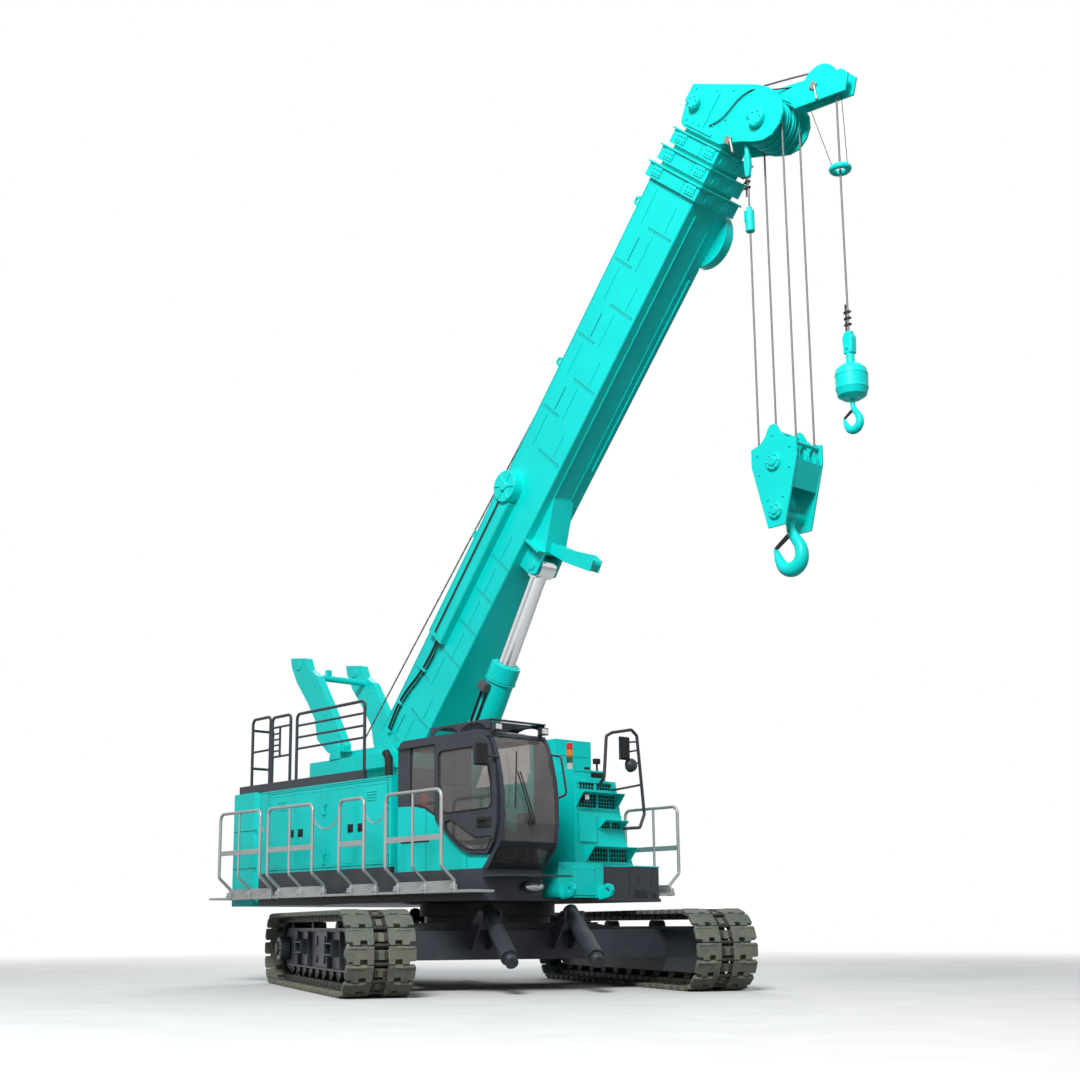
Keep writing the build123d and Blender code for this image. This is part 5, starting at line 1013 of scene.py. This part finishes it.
lens_glass, tree, shader = new_material("lamp_lens")
ribs = put(tree, "TexWave", {"Vector": put(tree, "TexCoord").outputs["Object"], "Scale": 32.0},
           bands_direction='Y')
tree.links.new(put(tree, "MapRange", {"Value": ribs.outputs["Fac"], "To Min": 0.55,
                                      "To Max": 0.85}).outputs[0], shader.inputs["Base Color"])
tree.links.new(put(tree, "Bump", {"Height": ribs.outputs["Fac"], "Strength": 0.5,
                                  "Distance": 0.004}).outputs[0], shader.inputs["Normal"])
shader.inputs["Roughness"].default_value = 0.12
shader.inputs["Metallic"].default_value = 0.6
lens = []
for y in (-1.387, -0.670):
    lens.append(block("lens", (1.858, 1.868), (y - 0.045, y + 0.045), (2.964, 3.030), 0.008))
lens.append(block("lens", (1.272, 1.282), (0.530, 0.600), (2.298, 2.362), 0.007))
fit("lamp_lenses", lens, "upper", lens_glass)
deselect()
bpy.ops.mesh.primitive_uv_sphere_add(segments=36, ring_count=14, radius=1.0)
oval = bpy.context.object
oval.data.transform(Matrix.Translation((1.750, -0.760, 1.195)) @ Matrix.Diagonal((0.045, 0.140, 0.052, 1.0)))
fit("head_lamp", [oval, bar("bulb", (1.78, -0.70, 1.195), (1.800, -0.70, 1.195), 0.035, 24, 0.005)], "upper",
    lens_glass, smooth=50)
mirror_face, tree, shader = new_material("mirror_glass")
spots = put(tree, "TexNoise", {"Vector": put(tree, "TexCoord").outputs["Object"], "Scale": 9.0})
tree.links.new(put(tree, "MapRange", {"Value": spots.outputs["Fac"], "To Min": 0.02,
                                      "To Max": 0.10}).outputs[0], shader.inputs["Roughness"])
shader.inputs["Base Color"].default_value = (0.55, 0.58, 0.60, 1.0)
shader.inputs["Metallic"].default_value = 1.0
faces = [block("glass", (1.2395, 1.246), (1.210, 1.335), (2.860, 3.140), 0.003),
         block("glass", (1.9235, 1.931), (-1.820, -1.650), (2.530, 2.770), 0.003)]
fit("mirror_glasses", faces, "upper", mirror_face)
shells = [block("back", (1.272, 1.292), (1.205, 1.340), (2.855, 3.145), 0.012),
          block("back", (1.955, 1.985), (-1.825, -1.645), (2.525, 2.775), 0.014)]
fit("mirror_backs", shells, "upper", black_rubber)

# ---- Inside the cab: seat with stuffed vinyl cushions on a boxed base, consoles with their levers, display,
# pedals and the extinguisher on the rear wall.
finish(black_rubber, "operator_seat")
SEAT_Y = -1.0185         # of the seat's middle
SEAT_LOW = 1.443         # of the cab's floor under it
CROWN = 0.28             # of a cushion's middle, for its half thickness


def cushion(x, y, z):
    """Stuffed cushion: crowned faces, sides drawn in between the corners, two sewn channels."""
    deselect()
    bpy.ops.mesh.primitive_cube_add(size=1.0)
    piece = bpy.context.object
    bpy.ops.object.mode_set(mode='EDIT')
    bpy.ops.mesh.select_all(action='SELECT')
    bpy.ops.mesh.subdivide(number_cuts=9)
    bpy.ops.object.mode_set(mode='OBJECT')
    size = Vector((x[1] - x[0], y[1] - y[0], z[1] - z[0]))
    thin = min(range(3), key=lambda k: size[k])
    wide = [k for k in range(3) if k != thin]
    for vertex in piece.data.vertices:
        p = vertex.co
        u, v = 2 * p[wide[0]], 2 * p[wide[1]]
        full = (1 - u ** 4) * (1 - v ** 4)
        sewn = 0.82 if abs(abs(v) - 0.4) < 0.06 else 1.0
        bulge = 1 + 0.04 * (1 - (2 * p[thin]) ** 2)
        p[thin] *= (0.72 + CROWN * full) * sewn
        p[wide[0]] *= 0.96 * bulge * (1 - 0.03 * (1 - v * v))
        p[wide[1]] *= 0.96 * bulge * (1 - 0.03 * (1 - u * u))
        vertex.co = (p.x * size.x, p.y * size.y, p.z * size.z)
    piece.data.transform(Matrix.Translation(((x[0] + x[1]) / 2, (y[0] + y[1]) / 2, (z[0] + z[1]) / 2)))
    rounder = piece.modifiers.new("round", 'SUBSURF')
    rounder.levels = rounder.render_levels = 1
    bpy.ops.object.modifier_apply(modifier="round")
    return piece


vinyl, tree, shader = new_material("black_vinyl")
place = put(tree, "TexCoord").outputs["Object"]
hide = put(tree, "TexVoronoi", {"Vector": place, "Scale": 240.0})
scuff = put(tree, "TexNoise", {"Vector": place, "Scale": 6.0, "Detail": 4.0})
tone = put(tree, "MapRange", {"Value": scuff.outputs["Fac"], "To Min": 0.045, "To Max": 0.085})
tree.links.new(tone.outputs[0], shader.inputs["Base Color"])
tree.links.new(put(tree, "Bump", {"Height": hide.outputs["Distance"], "Strength": 0.35,
                                  "Distance": 0.001}).outputs[0], shader.inputs["Normal"])
tree.links.new(put(tree, "MapRange", {"Value": scuff.outputs["Fac"], "To Min": 0.45,
                                      "To Max": 0.65}).outputs[0], shader.inputs["Roughness"])
seat = [block("box", (0.68, 1.02), (SEAT_Y - 0.17, SEAT_Y + 0.17), (SEAT_LOW, SEAT_LOW + 0.20), 0.012),
        block("pan", (0.62, 1.10), (SEAT_Y - 0.23, SEAT_Y + 0.23), (SEAT_LOW + 0.20, SEAT_LOW + 0.27), 0.012)]
base = fit("seat_base", seat, "upper", black_rubber)
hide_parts("operator_seat")
# Pad, its reach forward, its half width, and its reach upwards from the cab's floor.
for name, x, half, low, high in (("seat_cushion", (0.61, 1.13), 0.25, 0.26, 0.39),
                                 ("seat_back", (0.575, 0.695), 0.24, 0.40, 0.99),
                                 ("head_rest", (0.590, 0.680), 0.13, 1.00, 1.18)):
    pad = cushion(x, (SEAT_Y - half, SEAT_Y + half), (SEAT_LOW + low, SEAT_LOW + high))
    pad = fit(name, [pad], "upper", vinyl, smooth=60)
fittings = []
for side in (-1, 1):
    y = SEAT_Y + side * 0.315
    fittings.append(block("console", (0.70, 1.22), (y - 0.055, y + 0.055), (SEAT_LOW + 0.28, SEAT_LOW + 0.46),
                          0.015))
    fittings.append(bar("lever", (1.12, y, SEAT_LOW + 0.45), (1.15, y, SEAT_LOW + 0.60), 0.012, 12))
    fittings.append(bar("knob", (1.15, y, SEAT_LOW + 0.58), (1.16, y, SEAT_LOW + 0.67), 0.024, 16, 0.006))
    fittings.append(bar("pedal_arm", (1.48, SEAT_Y + side * 0.10, SEAT_LOW),
                        (1.44, SEAT_Y + side * 0.10, SEAT_LOW + 0.55), 0.011, 10))
    fittings.append(block("pedal", (1.40, 1.56), (SEAT_Y + side * 0.10 - 0.045, SEAT_Y + side * 0.10 + 0.045),
                          (SEAT_LOW + 0.03, SEAT_LOW + 0.06), 0.006))
fittings.append(block("screen", (1.62, 1.66), (-1.36, -1.12), (2.10, 2.30), 0.010))
fittings.append(bar("stalk", (1.64, -1.30, 1.46), (1.64, -1.28, 2.12), 0.014, 12))
fittings.append(block("dash", (1.50, 1.66), (-0.82, -0.68), (1.46, 2.05), 0.020))
fit("cab_fittings", fittings, "upper", black_rubber)
red = painted("signal_red", (0.50, 0.010, 0.008, 1.0), dirt=(0.12, 0.05, 0.04, 1.0), streaks=0.1, dust=0.2,
              low_dirt=0.0, roughness=0.3, rubbed=(0.6, 0.2, 0.15, 1.0), coat=0.3)
bottle = [bar("bottle", (0.45, -1.36, 2.02), (0.45, -1.36, 2.32), 0.062, 28, 0.020),
          bar("valve", (0.45, -1.36, 2.32), (0.45, -1.36, 2.38), 0.022, 16, 0.004)]
fit("extinguisher", bottle, "upper", red)

# ---- Cooler tower front: pressed lips round the intakes, the dark cores behind them, the step's wire
# grille, cover plates with their screws, and the signal column with its coloured bands. Sheet steel,
# enamelled.
finish(slate, "front_rails", "stack_light")
TOWER_FACE = 1.200       # of the lower front panel
lips = []
for y0, y1, z0, z1 in ((0.495, 1.095, 2.438, 2.525), (0.480, 1.165, 2.208, 2.380),
                       (0.875, 1.245, 1.958, 2.040), (0.645, 1.365, 1.538, 1.705)):
    for a, b, c, d in ((y0 - 0.012, y1 + 0.012, z0 - 0.012, z0), (y0 - 0.012, y1 + 0.012, z1, z1 + 0.012),
                       (y0 - 0.012, y0, z0, z1), (y1, y1 + 0.012, z0, z1)):
        lips.append(block("lip", (TOWER_FACE, TOWER_FACE + 0.006), (a, b), (c, d), 0.0015))
    lips.append(block("post", (TOWER_FACE - 0.020, TOWER_FACE - 0.004),
                      ((y0 + y1) / 2 - 0.012, (y0 + y1) / 2 + 0.012), (z0, z1), 0.002))
for y, z in ((0.47, 2.15), (0.47, 1.80), (0.47, 1.50), (0.95, 2.10), (1.24, 2.12), (1.28, 1.88), (0.60, 1.90),
             (0.60, 1.48), (1.38, 1.48)):
    lips.append(bar("screw", (TOWER_FACE, y, z), (TOWER_FACE + 0.008, y, z), 0.010, 6, 0.001))
lips.append(block("cover", (TOWER_FACE, TOWER_FACE + 0.010), (0.50, 0.80), (1.78, 2.14), 0.004))
lips.append(block("step_lip", (1.150, 1.158), (0.46, 1.02), (2.665, 2.690), 0.002))
lips.append(block("rib", (0.800, 0.806), (0.50, 1.06), (2.90, 2.912), 0.002))
fit("tower_lips", lips, "upper", turquoise)
y0, y1, z0, z1 = 0.76, 1.00, 2.600, 2.660
mesh_bars = [block("dark", (1.150, 1.153), (y0, y1), (z0, z1), 0.0008)]
for i in range(1, 8):
    y = y0 + (y1 - y0) * i / 8
    mesh_bars.append(bar("wire", (1.156, y, z0), (1.156, y, z1), 0.003, 6))
fit("step_grille", mesh_bars, "upper", black_rubber)
backs = [block("dark", (1.140, 1.146), (y0, y1), (z0, z1), 0.001)
         for y0, y1, z0, z1 in ((0.50, 1.09, 2.44, 2.52), (0.485, 1.16, 2.21, 2.375),
                                (0.88, 1.24, 1.96, 2.035), (0.65, 1.36, 1.54, 1.70))]
fit("cooler_cores", backs, "upper", black_rubber)

band_colours, tree, shader = new_material("signal_bands")
height = put(tree, "SeparateXYZ", {0: put(tree, "TexCoord").outputs["Object"]})
ramp = put(tree, "ValToRGB", {"Fac": put(tree, "MapRange",
                                         {"Value": height.outputs["Z"], "From Min": 2.69,
                                          "From Max": 3.03}).outputs[0]})
ramp.color_ramp.interpolation = 'CONSTANT'
for at, colour in ((0.0, (0.55, 0.55, 0.50, 1.0)), (0.24, (0.01, 0.10, 0.06, 1.0)),
                   (0.48, (0.85, 0.22, 0.01, 1.0)), (0.74, (0.70, 0.015, 0.01, 1.0))):
    stop = ramp.color_ramp.elements.new(at) if at else ramp.color_ramp.elements[0]
    stop.color = colour
ramp.color_ramp.elements.remove(ramp.color_ramp.elements[-1])
tree.links.new(ramp.outputs["Color"], shader.inputs["Base Color"])
shader.inputs["Roughness"].default_value = 0.25
column = [bar("segment", (1.05, 0.49, 2.692 + 0.085 * i), (1.05, 0.49, 2.772 + 0.085 * i), 0.041, 28, 0.004)
          for i in range(4)]
column.append(bar("core", (1.05, 0.49, 2.690), (1.05, 0.49, 3.026), 0.034, 20))
column = fit("signal_column", column, "upper", band_colours)
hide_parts("stack_light")
beacon = [bar("stem", (1.06, 0.96, 2.69), (1.06, 0.96, 2.80), 0.014, 12),
          block("lamp", (1.02, 1.09), (0.915, 1.005), (2.79, 2.86), 0.010),
          bar("cap", (1.04, 0.80, 2.69), (1.04, 0.80, 2.74), 0.035, 20, 0.006)]
fit("tower_work_lamp", beacon, "upper", black_rubber)

# ---- Frame nose and front boxes: the inset cover on the frame's nose with its screws, and the battery box's
# turquoise lid with the vents, slots and split of the box below it. Sheet steel.
finish(turquoise, "revolving_frame")
finish(slate, "battery_box")
nose = [block("inset", (1.740, 1.748), (-0.12, 0.22), (1.10, 1.44), 0.004)]
for y, z in ((-0.10, 1.12), (0.20, 1.12), (-0.10, 1.42), (0.20, 1.42), (-0.30, 1.44), (0.30, 1.44)):
    nose.append(bar("screw", (1.740, y, z), (1.756, y, z), 0.012, 6, 0.002))
fit("nose_cover", nose, "upper", turquoise)
low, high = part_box("battery_box")
lid = [block("lid", (low.x - 0.004, high.x + 0.012), (low.y - 0.004, high.y + 0.004),
             (high.z, high.z + 0.020), 0.006)]
fit("battery_lid", lid, "upper", turquoise)
vents = []
for y0, y1, z0, z1 in ((1.05, 1.28, 1.09, 1.17), (1.38, 1.435, 1.08, 1.14)):
    for i in range(5):
        z = z0 + (z1 - z0) * i / 4
        vents.append(block("slat", (high.x, high.x + 0.005), (y0, y1), (z - 0.004, z + 0.004), 0.0015))
for y in (1.13, 1.36):
    vents.append(block("slot", (high.x, high.x + 0.003), (y - 0.005, y + 0.005), (1.25, 1.355), 0.001))
vents.append(block("split", (high.x - 0.03, high.x + 0.002), (low.y - 0.0015, low.y + 0.0015), (1.06, 1.45),
                   0.0005))
fit("battery_vents", vents, "upper", black_rubber)

# ---- Left machinery house: the gaps between its hinged panels, their paddle latches in dishes, and the
# louvres over the pumps. Pressed sheet, with rubber in the gaps.
finish(turquoise, "left_house")
LEFT_FACE = 1.500
seams, latches = [], []
for x in (-2.95, -2.16, -1.37, -0.58, 0.21):
    seams.append(block("gap", (x - 0.003, x + 0.003), (LEFT_FACE - 0.001, LEFT_FACE + 0.0015), (1.50, 2.34),
                       0.0004))
for z in (1.50, 2.34):
    seams.append(block("gap", (-2.95, 0.21), (LEFT_FACE - 0.001, LEFT_FACE + 0.0015), (z - 0.003, z + 0.003),
                       0.0004))
for x in (-2.26, -1.27, -0.68, 0.11):
    latches.append(block("dish", (x - 0.055, x + 0.055), (LEFT_FACE - 0.002, LEFT_FACE + 0.004), (1.86, 1.96),
                         0.003))
    latches.append(block("paddle", (x - 0.035, x + 0.035), (LEFT_FACE + 0.002, LEFT_FACE + 0.014),
                         (1.88, 1.92), 0.004))
for x in (-2.56, -0.98):
    for i in range(7):
        latches.append(block("slat", (x - 0.20, x + 0.20), (LEFT_FACE, LEFT_FACE + 0.010),
                             (1.62 + 0.035 * i, 1.634 + 0.035 * i), 0.003))
fit("left_seams", seams, "upper", black_rubber)
fit("left_latches", latches, "upper", black_rubber)

# ---- Counterweight: cast slabs stacked on the tail, with the joints between them, bent lifting eyes on
# their pads and the heads of the tie bolts.
finish(turquoise, "counterweight")
low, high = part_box("counterweight")
cast = []
for z in (1.55, 2.07):
    for y in (low.y, high.y):
        cast.append(block("joint", (low.x + 0.07, high.x - 0.07), (y - 0.0015, y + 0.0015),
                          (z - 0.005, z + 0.005), 0.0005))
    cast.append(block("joint", (low.x - 0.0015, low.x + 0.0015), (low.y + 0.07, high.y - 0.07),
                      (z - 0.005, z + 0.005), 0.0005))
fit("ballast_joints", cast, "upper", black_rubber)
eyes = []
for y in (-1.1, 1.1):
    for x in (low.x + 0.16, high.x - 0.16):
        eyes.append(block("pad", (x - 0.07, x + 0.07), (y - 0.05, y + 0.05), (high.z, high.z + 0.018), 0.004))
        eyes.append(hose("lift", [(x - 0.045, y, high.z + 0.01), (x - 0.045, y, high.z + 0.085),
                                  (x + 0.045, y, high.z + 0.085), (x + 0.045, y, high.z + 0.01)], 0.013))
for y in (-0.9, -0.3, 0.3, 0.9):
    eyes.append(bar("tie", (low.x - 0.02, y, 1.75), (low.x + 0.01, y, 1.75), 0.034, 6, 0.005))
fit("ballast_eyes", eyes, "upper", turquoise)

# ---- Car body and slew ring: the ring's bolt circle, the gussets over the cross beams, the flanges with
# their bolts, and the bands and gland of each jack. Welded plate painted slate, with a greased ring.
finish(slate, "car_body", "jack_front_left", "jack_front_right", "jack_rear_left", "jack_rear_right")
finish(greasy_steel, "slew_ring")
ring_bolts = [bolt_ring("ring", (0, 0, 0.905), (0, 0, 1), 0.800, 44, 0.018, 0.030)]
fit("ring_bolts", ring_bolts, "undercarriage", zinc_bolt, TRAVEL)
guards = []
for x in (-1.06, 1.06):
    for side in (-1, 1):
        guards.append(sheet_cut("gusset", [(side * 1.06, 0.702), (side * 1.46, 0.702), (side * 1.06, 0.775)],
                                'X', x - 0.012, x + 0.012, 0.003))
        guards.append(block("flange", (x - 0.20, x + 0.20), sorted((side * 1.55, side * 1.575)), (0.38, 0.68),
                            0.006))
        for k in (-0.15, -0.05, 0.05, 0.15):
            for z in (0.42, 0.64):
                guards.append(bar("bolt", (x + k, side * 1.575, z), (x + k, side * 1.60, z), 0.018, 6, 0.003))
fit("beam_flanges", guards, "undercarriage", slate, TRAVEL)
for end in (-1, 1):
    for side in (-1, 1):
        body = "jack_%s_%s" % ("front" if end > 0 else "rear", "left" if side > 0 else "right")
        pin = Vector((end * 1.72, side * 0.51, 0.86))
        reach = Vector((end * cos(radians(33)), 0, -sin(radians(33))))
        place = Matrix.Translation(pin) @ reach.to_track_quat('Z', 'Y').to_matrix().to_4x4()
        bands = [bar("band", (0, 0, 0.30), (0, 0, 0.34), 0.099, 32, 0.004),
                 bar("band", (0, 0, 0.62), (0, 0, 0.65), 0.098, 32, 0.004),
                 bar("gland", (0, 0, 0.925), (0, 0, 0.945), 0.075, 32, 0.004)]
        fit(body + "_bands", bands, body, slate, TRAVEL @ place)

# ---- Ballast lifting arms: bolted pivot bosses at both ends of each arm, the bolts along it and the lug on
# the tube between the arms' tops. Steel, welded to the arms and enamelled with them.
finish(turquoise, "ballast_gantry")
arms = []
for y in (-0.5, 0.5):
    for side in (-1, 1):
        out = y + side * 0.060
        for x, z, radius in ((-2.65, 3.26, 0.095), (-3.66, 4.56, 0.070)):
            arms.append(bar("boss", (x, out - side * 0.01, z), (x, out + side * 0.016, z), radius, 32, 0.006))
        for x, z in ((-2.60, 3.42), (-2.95, 3.75), (-3.22, 4.20)):
            arms.append(bar("bolt", (x, out, z), (x, out + side * 0.010, z), 0.016, 6, 0.002))
arms.append(block("lug", (-3.43, -3.37), (-0.25, -0.16), (4.405, 4.50), 0.008))
fit("arm_bosses", arms, "ballast_gantry", turquoise)
